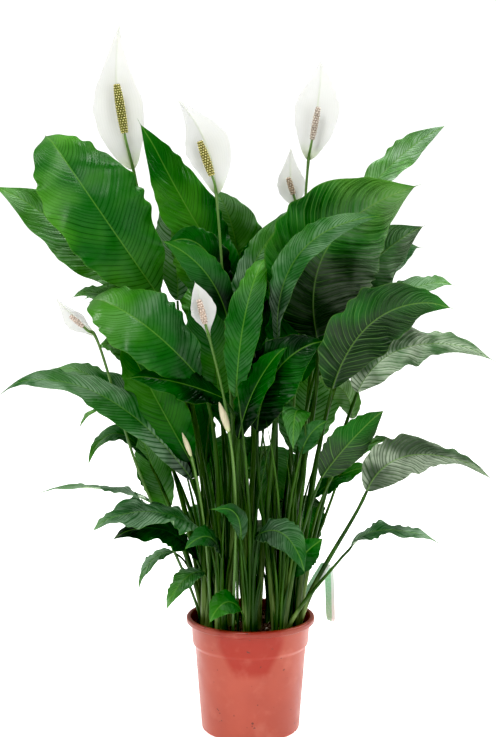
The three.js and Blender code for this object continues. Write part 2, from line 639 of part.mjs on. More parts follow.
for (const [name, [foot, base, tip, radius]] of Object.entries(BUDS)) {
  const start = new THREE.Vector3(foot[0], foot[1], SCAPE.foot);
  const rise = vector(tip).sub(vector(base)).normalize();
  place(`scape_bud_${name}`, scapeSolid(stalkCurve(start, vector(base), rise)), 'scape');
  place(`bud_${name}`, budSolid(vector(base), vector(tip), radius), 'bud');
}

export default plant;
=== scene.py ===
"""A peace lily in a round nursery pot: the fine surfaces of its leaves, flowers, pot, soil and label.

The plant stands on the XY plane, +Z is up and its front looks along -Y. The tables and the shapes
are in millimetres, and each mesh turns them into metres.
"""

import math
from types import SimpleNamespace as Values

import bpy
import numpy as np
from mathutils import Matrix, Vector, noise


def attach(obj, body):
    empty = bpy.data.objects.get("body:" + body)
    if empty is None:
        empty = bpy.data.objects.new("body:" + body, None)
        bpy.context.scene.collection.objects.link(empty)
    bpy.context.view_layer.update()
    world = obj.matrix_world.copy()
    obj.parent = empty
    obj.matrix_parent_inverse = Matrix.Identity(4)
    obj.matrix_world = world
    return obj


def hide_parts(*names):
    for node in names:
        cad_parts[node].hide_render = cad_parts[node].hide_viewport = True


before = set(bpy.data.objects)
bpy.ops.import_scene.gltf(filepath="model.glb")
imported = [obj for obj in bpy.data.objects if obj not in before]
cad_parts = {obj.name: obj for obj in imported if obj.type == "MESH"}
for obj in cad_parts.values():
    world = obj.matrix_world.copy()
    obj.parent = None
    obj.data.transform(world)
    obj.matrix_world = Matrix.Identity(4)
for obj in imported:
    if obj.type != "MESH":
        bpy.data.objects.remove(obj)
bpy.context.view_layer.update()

MM = 0.001
SEED = 7
FRONT = (0, -1, 0)

# ---- Camera ----

IMAGE_LONG_SIDE = 737
FOCAL_PIXELS = 1629
SENSOR_WIDTH = 36
CAMERA_PLACE = (-0.004, -2.6, 0.93)  # in metres
CAMERA_PITCH = 7.3  # degrees below the horizon

# ---- Light and floor ----

BLACK_LEVEL = 0.008
# The strength of the light from all round, from a low height on its sphere to a high one.
ROOM_LIGHT = {"From Min": 0.1, "From Max": 0.9, "To Min": 0.35, "To Max": 0.4}
LAMPS_AIM = (0, 0, 0.55)  # in metres
# Each lamp's place and size in metres, and its power in watts.
LAMPS = {
    "key_lamp": ((-0.8, -1.8, 2.9), 1.2, 36),
    "top_lamp": ((0.3, 0.4, 3.2), 1.3, 46),
    "fill_lamp": ((1.8, -2.2, 1.4), 1.4, 10),
    "left_rim_lamp": ((-2.3, 1.2, 2.1), 1.0, 22),
    "right_rim_lamp": ((2.3, 1.0, 2.1), 1.0, 26),
}
FLOOR = Values(radius=12000, sides=64)

# ---- The plant's dimensions ----

GAP = 0.3  # between pieces that are seated against each other

POT = Values(
    height=190, wall=1.6, base_radius=78.5, corner_radius=80.5, step_radius=91,
    collar_low_radius=95, collar_high_radius=97, lip_radius=105, mouth_radius=98,
    corner_height=6, step_height=140, collar_height=146, lip_under_height=178,
    lip_drop_height=180, floor_bottom=3.2, floor_top=4.8, rounding=1.6, sides=168,
    sharp_angle=38,
)
DRAIN = Values(count=8, width=11, height=5, depth=9)
SOIL = Values(
    top=172, mound=5, lumps=(2.2, 1.3, 0.7), sides=120, circles=44,
    crumbs=900, crumb_reach=90, pale_share=0.06,
)

# Radius and height up the short stock of a crown.
STOCK = [(10.8, 150), (12, 165), (11.52, 171), (10.32, 176), (8, 182)]

# Leaf stalks. The radii are those at the foot, half way and at the blade's heel for a blade of the
# usual length, and places along a stalk are shares of its length.
USUAL_LENGTH = 250
STALK = Values(
    foot=164, foot_ring=6, radii=(5.2, 3.8, 2.3), rows=36, crowding=1.1,
    straightness=0.4, leaving=0.33, arriving=0.3, sheath=(0.45, 0.05),
    swelling=0.2, swelling_at=0.94, swelling_length=0.035, drop=0.85, dropping=(0.85, 1),
)

# Rolled young leaves beside a crown. A pair holds the lowest and the highest of a random value.
MIDDLE_TO_CROWN = 75
SHOOT = Values(
    heights=[55, 90, 130, 190, 250, 310, 370], height_spread=(0.8, 1.2), foot_ring=(7, 11),
    radius=(2.6, 4.2), tone=(0, 0.6), lean=0.08, splay=0.05, bow=0.05, roll=0.4,
    rows=26,
)

# Flower stalks, the florets on a spadix, and the dome of a floret: shares of its radius and height.
SCAPE = Values(
    foot=155, upright=40, neck=10, foot_radius=3.2, end_radius=2.4, node_radius=2.7,
    slimness=0.78, swelling_length=9, rows=80,
)
FLORET = Values(width=4.6, height=3.8, fill=0.94, winding=0.12, end_lean=6)
DOME = [(1.0, -0.5), (0.9, 0.35), (0.62, 0.82), (0.25, 0.97)]

# The crowns: each one's centre, and its leaves. A leaf's row holds the heel of its blade, the point
# that its midrib passes at half its length, its tip, its full width, the way its upper side faces
# there, its cupping, the height of its waved edge, and how light it is, from 0 to 1. Then, where
# they aren't the usual ones: how much grey bloom and painted sheen it has, how strongly its veins
# stand out, its twist from heel to tip in degrees, and how far the bloom and painted sheen lie
# towards its left edge, or where that is negative towards its right one.
CROWNS = {
    "left": ([-68, -22], [
        [[-95, -30, 450], [-152, -42, 558], [-205, -25, 658], 80, [-0.3, -0.9, 0.3], 0.35, 4,
         0.45, 0, 0.6, 10],
        [[-95, -20, 420], [-240, -67, 566], [-395, -90, 580], 66, [0.1, -0.6, 0.8], 0.3, 5,
         0.3, 0.5, 1.8, 60],
        [[-75, -45, 340], [-155, -105, 385], [-245, -140, 370], 88, [0.05, -0.3, 0.95], 0.15, 8,
         0.4, 0.5, 1.8],
        [[-75, -50, 275], [-105, -80, 270], [-135, -90, 225], 36, [-0.2, -0.6, 0.7], 0.3, 2, 0.6, 0.7, 1.4],
        [[-85, -28, 290], [-140, -56, 345], [-218, -80, 340], 76, [0.1, -0.4, 0.9], 0.2, 5, 0.2, 0, 1.2],
    ]),
    "front_left": ([-45, -58], [
        [[-80, -50, 588], [-172, -95, 683], [-266, 25, 711], 112, [-0.1, -0.8, 0.6], 0.25, 6, 0.48, 0.1, 0.3],
        [[-40, -50, 555], [-110, -85, 585], [-185, -110, 600], 64, [0, -0.7, 0.7], 0.2, 4, 0.15, 0, 2.2],
        [[-45, -62, 295], [-65, -94, 342], [-103, -114, 328], 40, [0, -0.7, 0.7], 0.3, 2, 0.1, 0.1],
    ]),
    "front": ([0, -72], [
        [[-15, -86, 335], [-25, -102, 383], [-60, -114, 388], 30, [-0.5, -0.8, 0.3], 0.4, 2, 0.35, 0.1],
        [[5, -70, 335], [50, -105, 350], [85, -125, 295], 54, [0.1, -0.8, 0.6], 0.2, 3, 0.35, 0.2, 1.6],
        [[-23, -75, 560], [-8, -97, 695], [25, -20, 784], 54, [-0.2, -1, 0.2], 0.3, 4, 0.52, 0.1, 3],
        [[-19, -80, 496], [8, -105, 582], [55, -108, 648], 50, [-0.5, -0.8, 0.3], 0.4, 4, 0.25, 0, 1.4],
        [[-15, -84, 222], [-40, -108, 240], [-65, -116, 210], 42, [0, -0.8, 0.6], 0.2, 2, 0.85, 0.05],
    ]),
    "front_right": ([46, -57], [
        [[85, -85, 525], [70, -120, 545], [65, -140, 490], 42, [-0.1, -0.9, 0.4], 0.3, 2, 0.4, 0.15],
        [[80, -70, 470], [95, -80, 505], [120, -85, 525], 30, [0.2, -0.8, 0.4], 0.3, 2, 0.4, 0.1],
        [[60, -50, 265], [85, -60, 305], [115, -60, 330], 45, [0.3, -0.8, 0.4], 0.3, 2, 0.35],
        [[112, -80, 435], [152, -110, 494], [203, -130, 550], 58, [0.3, 0.8, 0.5], 0.3, 4, 0.12, 0.05, 2.2],
        [[10, -60, 505], [40, -100, 605], [110, -110, 655], 90, [-0.3, -0.9, 0.3], 0.3, 4, 0.12, 0.02, 2.6],
        [[160, -60, 320], [210, -80, 350], [300, -90, 335], 42, [0, -0.3, 0.95], 0.3, 4, 0.3, 0.85, 1.2],
    ]),
    "right": ([69, -20], [
        [[183, -90, 415], [247, -130, 480], [370, -140, 454], 78, [0.1, 0.8, 0.55], 0.2, 5,
         0.2, 0.5, 2.8, 60],
        [[135, -50, 440], [185, -70, 485], [230, -90, 495], 40, [0.1, 0.4, 0.9], 0.3, 3, 0.7],
        [[127, -75, 575], [190, -130, 689], [300, -130, 713], 112, [0, 0.8, 0.6], 0.2, 5, 0.25, 0.04, 2.8],
        [[170, -22, 562], [245, -50, 638], [377, -75, 630], 90, [0, 0.7, 0.7], 0.2, 5, 0.22, 0.7, 2.8, 20],
    ]),
    "back_right": ([64, 30], [
        [[104, 6, 385], [143, 0, 420], [195, -12, 440], 45, [0, -0.5, 0.85], 0.3, 3, 0.25, 0.05],
        [[165, 0, 515], [150, 10, 560], [105, 20, 580], 40, [-0.2, 0.9, 0.3], 0.3, 2, 0.9, 0.5],
        [[185, -20, 675], [250, -30, 725], [315, -50, 740], 55, [0, -0.5, 0.85], 0.3, 3, 0.9, 0.5],
        [[155, 60, 825], [228, 80, 920], [315, 80, 985], 54, [-0.2, -0.7, 0.6], 0.3, 4, 0.85, 0.9, 1.8, 60],
    ]),
    "far_right": ([38, 66], [
        [[50, 150, 640], [65, 225, 770], [75, 310, 830], 110, [0, -0.3, 0.9], 0.3, 5, 0.5],
        [[90, 140, 560], [140, 215, 670], [200, 290, 680], 95, [0, -0.1, 0.95], 0.3, 5, 0.45, 0.1],
        [[130, 100, 620], [205, 150, 740], [290, 190, 790], 100, [0, -0.3, 0.9], 0.3, 5, 0.4, 0.15],
        [[78, 110, 365], [88, 140, 325], [92, 150, 225], 80, [0.2, 0.9, 0.5], 0.25, 4, 0.2],
        [[80, 88, 440], [100, 112, 560], [120, 150, 665], 110, [0, -0.9, 0.45], 0.3, 5, 0.8, 0.3],
    ]),
    "far": ([-4, 71], [
        [[-60, 150, 600], [-80, 230, 720], [-110, 320, 740], 105, [0, -0.2, 0.95], 0.3, 5, 0.6, 0.05],
        [[-25, 112, 470], [-25, 140, 610], [0, 175, 730], 116, [0, -0.9, 0.45], 0.3, 5, 0.6, 0.2],
        [[-22, 118, 470], [-40, 165, 405], [-52, 180, 262], 95, [-0.2, 0.9, 0.5], 0.25, 5, 0.5, 0.1],
        [[-55, 115, 350], [-72, 150, 310], [-80, 158, 212], 80, [-0.2, 0.9, 0.5], 0.25, 4, 0.3, 0.1],
        [[28, 120, 450], [45, 165, 385], [52, 178, 240], 95, [0.2, 0.9, 0.5], 0.25, 5, 0.7, 0.1],
        [[5, 120, 320], [5, 150, 288], [0, 160, 198], 80, [0, 0.9, 0.5], 0.25, 4, 0.3, 0.1],
    ]),
    "far_left": ([-44, 60], [
        [[-150, 20, 715], [-252, -15, 870], [-338, 90, 980], 150, [0.2, -0.9, 0.3], 0.3, 7, 0.66, 0.04, 0.26],
        [[-180, 60, 715], [-285, 70, 805], [-410, 60, 890], 100, [-0.1, -0.75, 0.65], 0.3, 6, 0.95, 0.3, 1.6],
        [[-120, 75, 700], [-125, 76, 790], [-145, 74, 860], 60, [0, -0.9, 0.4], 0.3, 4, 0.8, 0.7],
        [[-110, 120, 560], [-190, 180, 680], [-290, 220, 700], 95, [-0.3, -0.1, 0.95], 0.3, 5, 0.5],
        [[-130, 90, 420], [-210, 140, 510], [-300, 180, 480], 70, [-0.2, 0.1, 0.95], 0.3, 4, 0.5],
        [[-95, 85, 400], [-110, 105, 500], [-125, 140, 600], 95, [0, -0.9, 0.45], 0.3, 5, 0.45],
    ]),
    "back_left": ([-69, 22], [
        [[-165, 25, 440], [-220, 25, 487], [-268, 15, 440], 36, [-0.3, -0.5, 0.8], 0.4, 2, 0.7, 0.2],
        [[-150, 10, 370], [-230, 0, 400], [-350, -10, 400], 50, [0, 0.05, 1], 0.3, 3, 0.55, 0.8],
        [[-125, 20, 290], [-160, 10, 280], [-185, 0, 235], 26, [-0.4, -0.5, 0.7], 0.3, 2, 0.5, 0.6],
        [[-140, 35, 460], [-218, 30, 555], [-314, 20, 600], 60, [-0.1, -0.5, 0.8], 0.3, 4, 0.5, 0.4],
        [[-180, 10, 585], [-215, 10, 630], [-245, 10, 630], 34, [0, -0.6, 0.8], 0.3, 2, 0.7, 0.4],
        [[-135, 25, 360], [-160, 25, 430], [-180, 20, 490], 54, [-0.1, -0.9, 0.3], 0.3, 3, 1, 0.2],
    ]),
    "middle_left": ([-32, -8], [
        [[-160, 30, 660], [-225, 45, 708], [-290, 52, 713], 50, [0, -0.5, 0.85], 0.3, 3, 0.8, 0.4],
        [[-35, 0, 705], [-75, 0, 790], [-130, -10, 800], 60, [0, -0.8, 0.6], 0.3, 4, 0.17],
        [[-35, -40, 675], [-70, -60, 755], [-135, -70, 805], 52, [-0.2, -0.8, 0.5], 0.5, 3, 0.27, 0.05, 0.8],
        [[-50, 30, 545], [-65, 35, 640], [-85, 40, 730], 80, [0, -0.9, 0.4], 0.3, 4, 0.7, 0.1],
    ]),
    "middle_front": ([6, -28], [
        [[43, -60, 642], [74, -104, 786], [196, -130, 847], 52, [-0.2, -0.8, 0.5], 0.6, 3,
         0.4, 0.33, 2.2, 30],
        [[-20, -12, 690], [10, -14, 775], [75, -32, 860], 50, [-0.4, -0.9, 0.3], 0.3, 3, 0.5, 0.5, 2],
    ]),
    "middle_right": ([34, 8], [
        [[50, 12, 560], [85, 10, 680], [110, 15, 790], 104, [0, -0.9, 0.4], 0.3, 5, 0.6],
        [[143, 0, 707], [193, -10, 769], [270, 0, 826], 96, [-0.1, 0.9, 0.4], 0.3, 5, 0.25, 0.25, 2.8],
        [[106, -30, 650], [122, -60, 798], [252, -30, 886], 172, [0.2, 0.9, 0.3], 0.15, 8,
         0.38, 0.14, 3.4, 0, -1],
    ]),
    "middle_back": ([-4, 34], [
        [[-25, 28, 735], [-100, 34, 850], [-170, 20, 985], 90, [0.2, -0.9, 0.4], 0.3, 5, 0.6, 0, 1.3],
        [[-45, 62, 690], [-80, 62, 780], [-110, 55, 870], 96, [0, -0.9, 0.4], 0.3, 4, 0.9, 0.1],
        [[-20, 80, 700], [-25, 80, 800], [-55, 72, 880], 92, [0, -0.9, 0.4], 0.3, 4, 1, 0.3, 1.2],
        [[5, 45, 690], [10, 45, 765], [25, 35, 815], 56, [0, -0.9, 0.4], 0.3, 3, 0.5],
        [[10, 50, 520], [25, 64, 620], [50, 70, 720], 90, [0, -0.9, 0.4], 0.3, 4, 0.35],
    ]),
}

# Flowers. Each row holds the foot of the scape, a point half way up it, the node that carries the
# spathe, the point that the spathe's midrib passes at half its length, its tip, its full width,
# the way its inner side faces, its cupping, the base and the top of the spadix, and its radius.
# Then come how much the spathe narrows towards its base and towards its tip and how much painted light
# brightens it,
# and the colours of the spadix: between its florets, on them and on their tips.
FLOWERS = {
    "tall_left": [[-52, 24], [-112, 40, 540], [-190, 60, 915], [-215, 64, 1025], [-210, 60, 1145], 80,
        [0.1, -1, 0.1], 0.4, [-202, 42, 972], [-214, 40, 1050], 7.5,
        (0.1, 0.5, 0), [(64, 62, 18), (136, 138, 50), (244, 234, 172)]],
    "centre_left": [[-13, 4], [-30, -14, 520], [-54, -28, 877], [-71, -24, 957], [-113, -28, 1022], 72,
        [0.1, -1, 0.2], 0.4, [-60, -46, 905], [-79, -46, 959], 6.5,
        (0.3, 0.5, 0), [(72, 68, 22), (148, 144, 62), (244, 234, 178)]],
    "tall_right": [[58, 4], [72, 52, 540], [95, 90, 930], [110, 94, 1020], [115, 90, 1090], 72,
        [0, -1, 0.1], 0.4, [100, 72, 962], [110, 72, 1015], 5,
        (0.1, 0.4, 0.4), [(168, 150, 134), (206, 192, 176), (232, 224, 212)]],
    "small_right": [[16, 50], [40, 88, 510], [75, 114, 857], [67, 116, 896], [67, 114, 949], 46,
        [0, -1, 0.1], 0.4, [71, 102, 873], [62, 100, 901], 4.5,
        (0.1, 0.45, 0.5), [(140, 122, 98), (186, 168, 144), (226, 212, 192)]],
    "low_centre": [[-20, -46], [-32, -68, 500], [-65, -80, 658], [-74, -78, 700], [-86, -80, 741], 40,
        [0.1, -1, 0.1], 0.5, [-70, -94, 678], [-80, -94, 716], 5,
        (0.8, 0.1, 0), [(196, 174, 156), (216, 196, 180), (230, 216, 204)]],
    "low_left": [[-82, 0], [-182, -22, 440], [-248, -36, 657], [-276, -34, 682], [-307, -36, 713], 40,
        [-0.3, -0.8, -0.5], 0.5, [-263, -48, 669], [-283, -52, 687], 4,
        (0.4, 0.4, 0.2), [(200, 180, 164), (220, 202, 188), (232, 220, 210)]],
}

# Unopened flowers. Each row holds the foot of the scape, the base and the tip of the rolled
# spathe, and its greatest radius.
BUDS = {
    "centre": [[-28, -76], [-34, -90, 509], [-49, -92, 556], 6],
    "left": [[-61, -47], [-93, -80, 468], [-107, -82, 506], 4],
}

# The label: a strip that leans out of the soil, folds over and hangs down. Its path is the
# distance along the lean, and the height. The rounding of its far corners is corner_radius wide
# and takes corner_share of the path.
LABEL = Values(
    foot=[75, 1], lean=[0.8, 0.6], width=24, thickness=0.8, rows=90, curl=0.8,
    corner_radius=3, corner_share=0.03158,
    path=[[0, 158], [9, 195], [60, 262], [64, 266], [68, 262], [74, 166]],
)
LABEL_COLOURS = {
    "label_front": [(178, 226, 188), (250, 250, 248)],
    "label_back": [(166, 222, 180), (248, 250, 248)],
}

# ---- Curves and frames ----

UP = np.array([0, 0, 1])
FRAME_STEPS = 24
ROUND_SIDES = 14


def unit(v):
    v = np.asarray(v, float)
    return v / np.linalg.norm(v, axis=-1, keepdims=True)


def spread(u):
    """Shares along a curve, with room for the three coordinates of a point."""
    return np.asarray(u, float)[..., None]


def smooth(low, high, value):
    """From 0 at low to 1 at high, with level ends."""
    share = np.clip((np.asarray(value, float) - low) / (high - low), 0, 1)
    return share * share * (3 - 2 * share)


def bell(value, middle, width):
    """1 at the middle, falling off to both sides."""
    return np.exp(-(((value - middle) / width) ** 2))


def circle(sides):
    """Angles all the way round, in even steps."""
    return np.linspace(0, 2 * np.pi, sides, endpoint=False)


ROUND = circle(ROUND_SIDES)


class Bezier:
    """A curve from its first point to its last, drawn towards those between them."""

    def __init__(self, *points):
        self.points = np.array(points, float)

    def blend(self, points, u):
        while len(points) > 1:
            points = [(1 - u) * a + u * b for a, b in zip(points, points[1:])]
        return points[0]

    def point(self, u):
        return self.blend(self.points, spread(u))

    def tangent(self, u):
        return unit(self.blend(np.diff(self.points, axis=0), spread(u)))


def midrib(heel, crest, tip):
    """A curve from a heel through a crest at half way to a tip."""
    heel, crest, tip = np.array([heel, crest, tip], float)
    return Bezier(heel, 2 * crest - (heel + tip) / 2, tip)


def stalk_curve(foot, end, direction):
    """A curve that leaves its foot half upright and arrives along a direction."""
    foot, end = np.array([foot, end], float)
    reach = np.linalg.norm(end - foot)
    along = (end - foot) / reach
    arriving = unit(STALK.straightness * along + (1 - STALK.straightness) * np.asarray(direction))
    low = foot + STALK.leaving * reach * unit(along + UP)
    return Bezier(foot, low, end - STALK.arriving * reach * arriving, end)


class Spline:
    """A centripetal Catmull-Rom curve through points."""

    def __init__(self, points):
        self.q = [np.array(p, float) for p in points]

    def point(self, u):
        flat = [self.point_at(float(x)) for x in np.ravel(u)]
        return np.array(flat).reshape(np.shape(u) + (len(self.q[0]),))

    def tangent(self, u):
        step = 1e-4
        return unit(self.point(np.clip(u + step, 0, 1)) - self.point(np.clip(u - step, 0, 1)))

    def point_at(self, u):
        q, last = self.q, len(self.q) - 1
        k = min(int(u * last), last - 1)
        w = u * last - k
        b, c = q[k], q[k + 1]
        a = q[k - 1] if k > 0 else 2 * b - c
        d = q[k + 2] if k + 2 <= last else 2 * c - b
        ab, bc, cd = (math.sqrt(np.linalg.norm(y - x)) for x, y in ((a, b), (b, c), (c, d)))
        leave = bc * ((b - a) / ab - (c - a) / (ab + bc) + (c - b) / bc)
        arrive = bc * ((c - b) / bc - (d - b) / (bc + cd) + (d - c) / cd)
        second, third = 3 * (c - b) - 2 * leave - arrive, 2 * (b - c) + leave + arrive
        return b + leave * w + second * w**2 + third * w**3


def square_to(way, tangent):
    way = np.asarray(way, float)
    return unit(way - np.dot(way, tangent) * tangent)


class Normals:
    """Directions square to a curve, carried along it without turning from the one at a step."""

    def __init__(self, curve, start_step, start_normal):
        tangents = curve.tangent(np.arange(FRAME_STEPS + 1) / FRAME_STEPS)
        self.n = np.zeros((FRAME_STEPS + 1, 3))
        self.n[start_step] = square_to(start_normal, tangents[start_step])
        for k in range(start_step + 1, FRAME_STEPS + 1):
            self.n[k] = square_to(self.n[k - 1], tangents[k])
        for k in range(start_step - 1, -1, -1):
            self.n[k] = square_to(self.n[k + 1], tangents[k])

    def at(self, u):
        place = np.clip(np.asarray(u, float) * FRAME_STEPS, 0, FRAME_STEPS)
        k = np.minimum(place.astype(int), FRAME_STEPS - 1)
        w = spread(place - k)
        return unit(self.n[k] * (1 - w) + self.n[k + 1] * w)


def turned_about(v, axis, angle):
    """Vectors turned about unit axes that are square to them."""
    angle = spread(angle)
    return v * np.cos(angle) + np.cross(axis, v) * np.sin(angle)


# ---- Meshes ----


class Build:
    """Gathers surfaces into one mesh, with a value of each kind at each point for the materials."""

    VALUES = ("vein", "across", "rib", "tone", "bloom", "along")

    def __init__(self):
        self.points, self.faces, self.slots, self.values = [], [], [], []
        self.count = 0

    def add(self, points, faces, slot=0, **values):
        """Adds points with faces between them, and returns the number of the first of them."""
        points = np.asarray(points, float).reshape(-1, 3)
        columns = [np.broadcast_to(np.ravel(values.get(name, 0.0)), len(points)) for name in self.VALUES]
        self.points.append(points)
        self.values.append(np.stack(columns))
        self.join(faces + self.count, slot)
        self.count += len(points)
        return self.count - len(points)

    def join(self, faces, slot=0):
        """Adds faces between points that are already there."""
        self.faces.append(faces)
        self.slots.append(np.full(len(faces), slot))

    def mesh(self, name, materials):
        faces = np.concatenate(self.faces)
        used = faces >= 0
        mesh = bpy.data.meshes.new(name)
        mesh.vertices.add(self.count)
        mesh.vertices.foreach_set("co", (np.concatenate(self.points) * MM).astype(np.float32).ravel())
        mesh.loops.add(int(used.sum()))
        mesh.loops.foreach_set("vertex_index", faces[used].astype(np.int32))
        mesh.polygons.add(len(faces))
        ends = np.cumsum(used.sum(1))
        mesh.polygons.foreach_set("loop_start", np.concatenate([[0], ends[:-1]]).astype(np.int32))
        mesh.polygons.foreach_set("material_index", np.concatenate(self.slots).astype(np.int32))
        mesh.polygons.foreach_set("use_smooth", np.ones(len(faces), bool))
        for kind, column in zip(self.VALUES, np.concatenate(self.values, 1)):
            if column.any():
                layer = mesh.attributes.new(kind, "FLOAT", "POINT")
                layer.data.foreach_set("value", column.astype(np.float32))
        for material in materials:
            mesh.materials.append(material)
        mesh.update(calc_edges=True)
        return mesh

    def piece(self, name, materials, cad_node, slot):
        place_piece(name, self.mesh(name, materials), cad_node)


def place_piece(name, mesh, cad_node):
    piece = bpy.data.objects.new(name, mesh)
    bpy.context.scene.collection.objects.link(piece)
    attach(piece, "root")
    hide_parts(cad_node)


def grid_faces(rows, columns, wraps=False, flipped=False):
    """Four-sided faces between points listed row by row; wraps joins the last column to the first."""
    r = np.arange(rows - 1)[:, None]
    c = np.arange(columns if wraps else columns - 1)[None, :]
    after = (c + 1) % columns
    corners = [r * columns + c, r * columns + after, (r + 1) * columns + after, (r + 1) * columns + c]
    faces = np.stack(np.broadcast_arrays(*corners), -1).reshape(-1, 4)
    return faces[:, ::-1] if flipped else faces


def fan(ring, centre, flipped=False):
    """Three-sided faces from a ring to its centre, with -1 in place of a fourth corner."""
    faces = np.stack([ring, np.roll(ring, -1), np.full(len(ring), centre)], -1)
    faces = faces[:, ::-1] if flipped else faces
    return np.hstack([faces, np.full((len(ring), 1), -1)])


def add_tube(build, rings, slot=0, flipped=False, **values):
    """A closed solid through rings of points, shaped (rings, sides, 3). Its sides face outwards
    where the rings turn left round the way they follow each other, and else it is flipped.
    A value holds for the whole tube, or there is one for each ring or for each point."""
    rows, sides, _ = rings.shape

    def at_points(value):
        value = np.asarray(value, float)
        value = np.broadcast_to(value[:, None] if value.ndim == 1 else value, (rows, sides))
        return np.concatenate([value.ravel(), value[0, :1], value[-1, :1]])

    values = {kind: at_points(value) for kind, value in values.items()}
    points = np.concatenate([rings.reshape(-1, 3), rings[0].mean(0)[None], rings[-1].mean(0)[None]])
    start = build.add(points, grid_faces(rows, sides, True, flipped), slot, **values)
    first = start + np.arange(sides)
    centre = start + rows * sides
    build.join(fan(first, centre, not flipped), slot)
    build.join(fan(first + (rows - 1) * sides, centre + 1, flipped), slot)


def add_sheet(build, upper, lower, slots, edge_slot, **values):
    """A thin closed solid between two surfaces of points, shaped (rows, columns, 3)."""
    rows, columns, _ = upper.shape
    start = build.add(upper, grid_faces(rows, columns, flipped=True), slots[0], **values)
    build.add(lower, grid_faces(rows, columns), slots[1], **values)
    index = start + np.arange(rows * columns).reshape(rows, columns)
    edge = np.concatenate([index[0, :-1], index[:-1, -1], index[-1, :0:-1], index[:0:-1, 0]])
    after = np.roll(edge, -1)
    below = rows * columns
    build.join(np.stack([edge, after, after + below, edge + below], -1), edge_slot)


def rings_along(curve, normals, shares, radii, drop=0.0):
    """Rings round a curve, and a drop below it. The radii are shaped (shares, ROUND_SIDES)."""
    normal = normals.at(shares)
    side = np.cross(curve.tangent(shares), normal)
    middle = curve.point(shares) - normal * spread(np.broadcast_to(drop, shares.shape))
    across, up = spread(radii * np.cos(ROUND)), spread(radii * np.sin(ROUND))
    return middle[:, None] + side[:, None] * across + normal[:, None] * up


def rings_about(middle, side, normal, radii, turn):
    """Rings square to a straight axis, round its middle points."""
    return middle + side * spread(radii * np.cos(turn)) + normal * spread(radii * np.sin(turn))


def lathe(profile, sides):
    """Rings of points round the Z axis through a profile of (radius, height)."""
    turn = circle(sides)
    profile = np.asarray(profile, float)
    x = profile[:, :1] * np.cos(turn)
    y = profile[:, :1] * np.sin(turn)
    return np.stack([x, y, np.broadcast_to(profile[:, 1:], x.shape)], -1)


# ---- Blades ----

UPPER, UNDER, STALK_SIDE = 0, 1, 2
HALF_ACROSS = np.array([0.03, 0.075, 0.14, 0.24, 0.36, 0.49, 0.62, 0.75, 0.86, 0.94, 0.985, 1.0])
ACROSS = np.concatenate([HALF_ACROSS[::-1], [0.0], -HALF_ACROSS])
ROWS_PER_VEIN = 5
SPATHE_ROWS = 90

# How every blade is formed. Places along a blade are shares of its midrib's length, and reach a
# little past the midrib's end, where the blade is drawn out to a point.
FORM = Values(
    start=0.004, end=1.038, point_end=1.04, point_length=0.14, point_width=0.012,
    drawn=(0.4, 0.95), waist=(0.5, 0), hook=(0.8, 1.04), clasp_length=0.09,
    vein_bend=1.35, sags=1.9, crimps=3.3, crimp_drift=2, other_edge=2,
    rib_to_relief=(0.5, 6), relief_to_edge=(0.85, 1), narrow_relief=(0.1, 0.5),
    edge_flatness=0.8, veins_in_puff=2.7, groove_radius=1.3, keel_margin=0.35,
)
# How unevenly the side veins stand: how far they wander, how often, and how much of a blade's own
# phase goes into it.
WANDER = [(0.4, 3, 1), (0.25, 7, 2)]


def outline(u):
    """Half width along a blade as a share of its greatest: round at the heel, drawn out at the tip."""
    u = np.clip(u, 0, 1)
    return np.sin(np.pi * u**0.85).clip(0) ** 0.75 * (1 - 0.5 * u**10)


def vein_place(blade, s, t):
    """Which side vein a point lies at, counted from the heel."""
    own = 9 * blade.phase + 2 * np.sign(t)
    return blade.veins * s + sum(far * np.sin(often * 2 * np.pi * s + k * own) for far, often, k in WANDER)


def edge_waves(blade, u, t):
    """The turn of the wave along both edges, and the height of the finer crimp that goes with it."""
    turn = 2 * np.pi * (blade.waves * u + blade.phase) + np.where(t > 0, 0, FORM.other_edge)
    return turn, np.sin(FORM.crimps * turn + FORM.crimp_drift * np.sin(turn))


def half_widths(blade, u, far, crimp):
    """The half width as a share of the greatest one, and in millimetres."""
    share = outline(u) * (1 - blade.drawn * smooth(*FORM.drawn, u))
    share = share * (1 - blade.waist * smooth(*FORM.waist, u))
    lobe = share * blade.width / 2 * (1 + blade.crimp * far**4 * crimp)
    to_point = np.clip((FORM.point_end - u) / FORM.point_length, 0, 1)
    half = np.hypot(blade.heel_radius * (1 - u).clip(0), lobe) + FORM.point_width * blade.width * to_point
    return share, half


def relief(blade, s, t, share, away):
    """The height of the ridges between the side veins, and of the puffs that gather a few of them."""
    far = np.abs(t)
    vein = vein_place(blade, s, t)
    if blade.sweep:
        ridge = 1 - np.abs(np.cos(np.pi * vein))
    else:
        ridge = np.cos(np.pi * blade.veins * far) ** 2
    flat_edge = 1 - FORM.edge_flatness * smooth(*FORM.relief_to_edge, far)
    reach = smooth(*FORM.rib_to_relief, away) * flat_edge * smooth(*FORM.narrow_relief, share)
    puff = np.sin(2 * np.pi * vein / FORM.veins_in_puff + 2.5 * np.sign(t) + 6 * blade.phase)
    return reach * (blade.relief * (ridge - 0.5) + blade.puff * share * np.sin(np.pi * far) * puff)


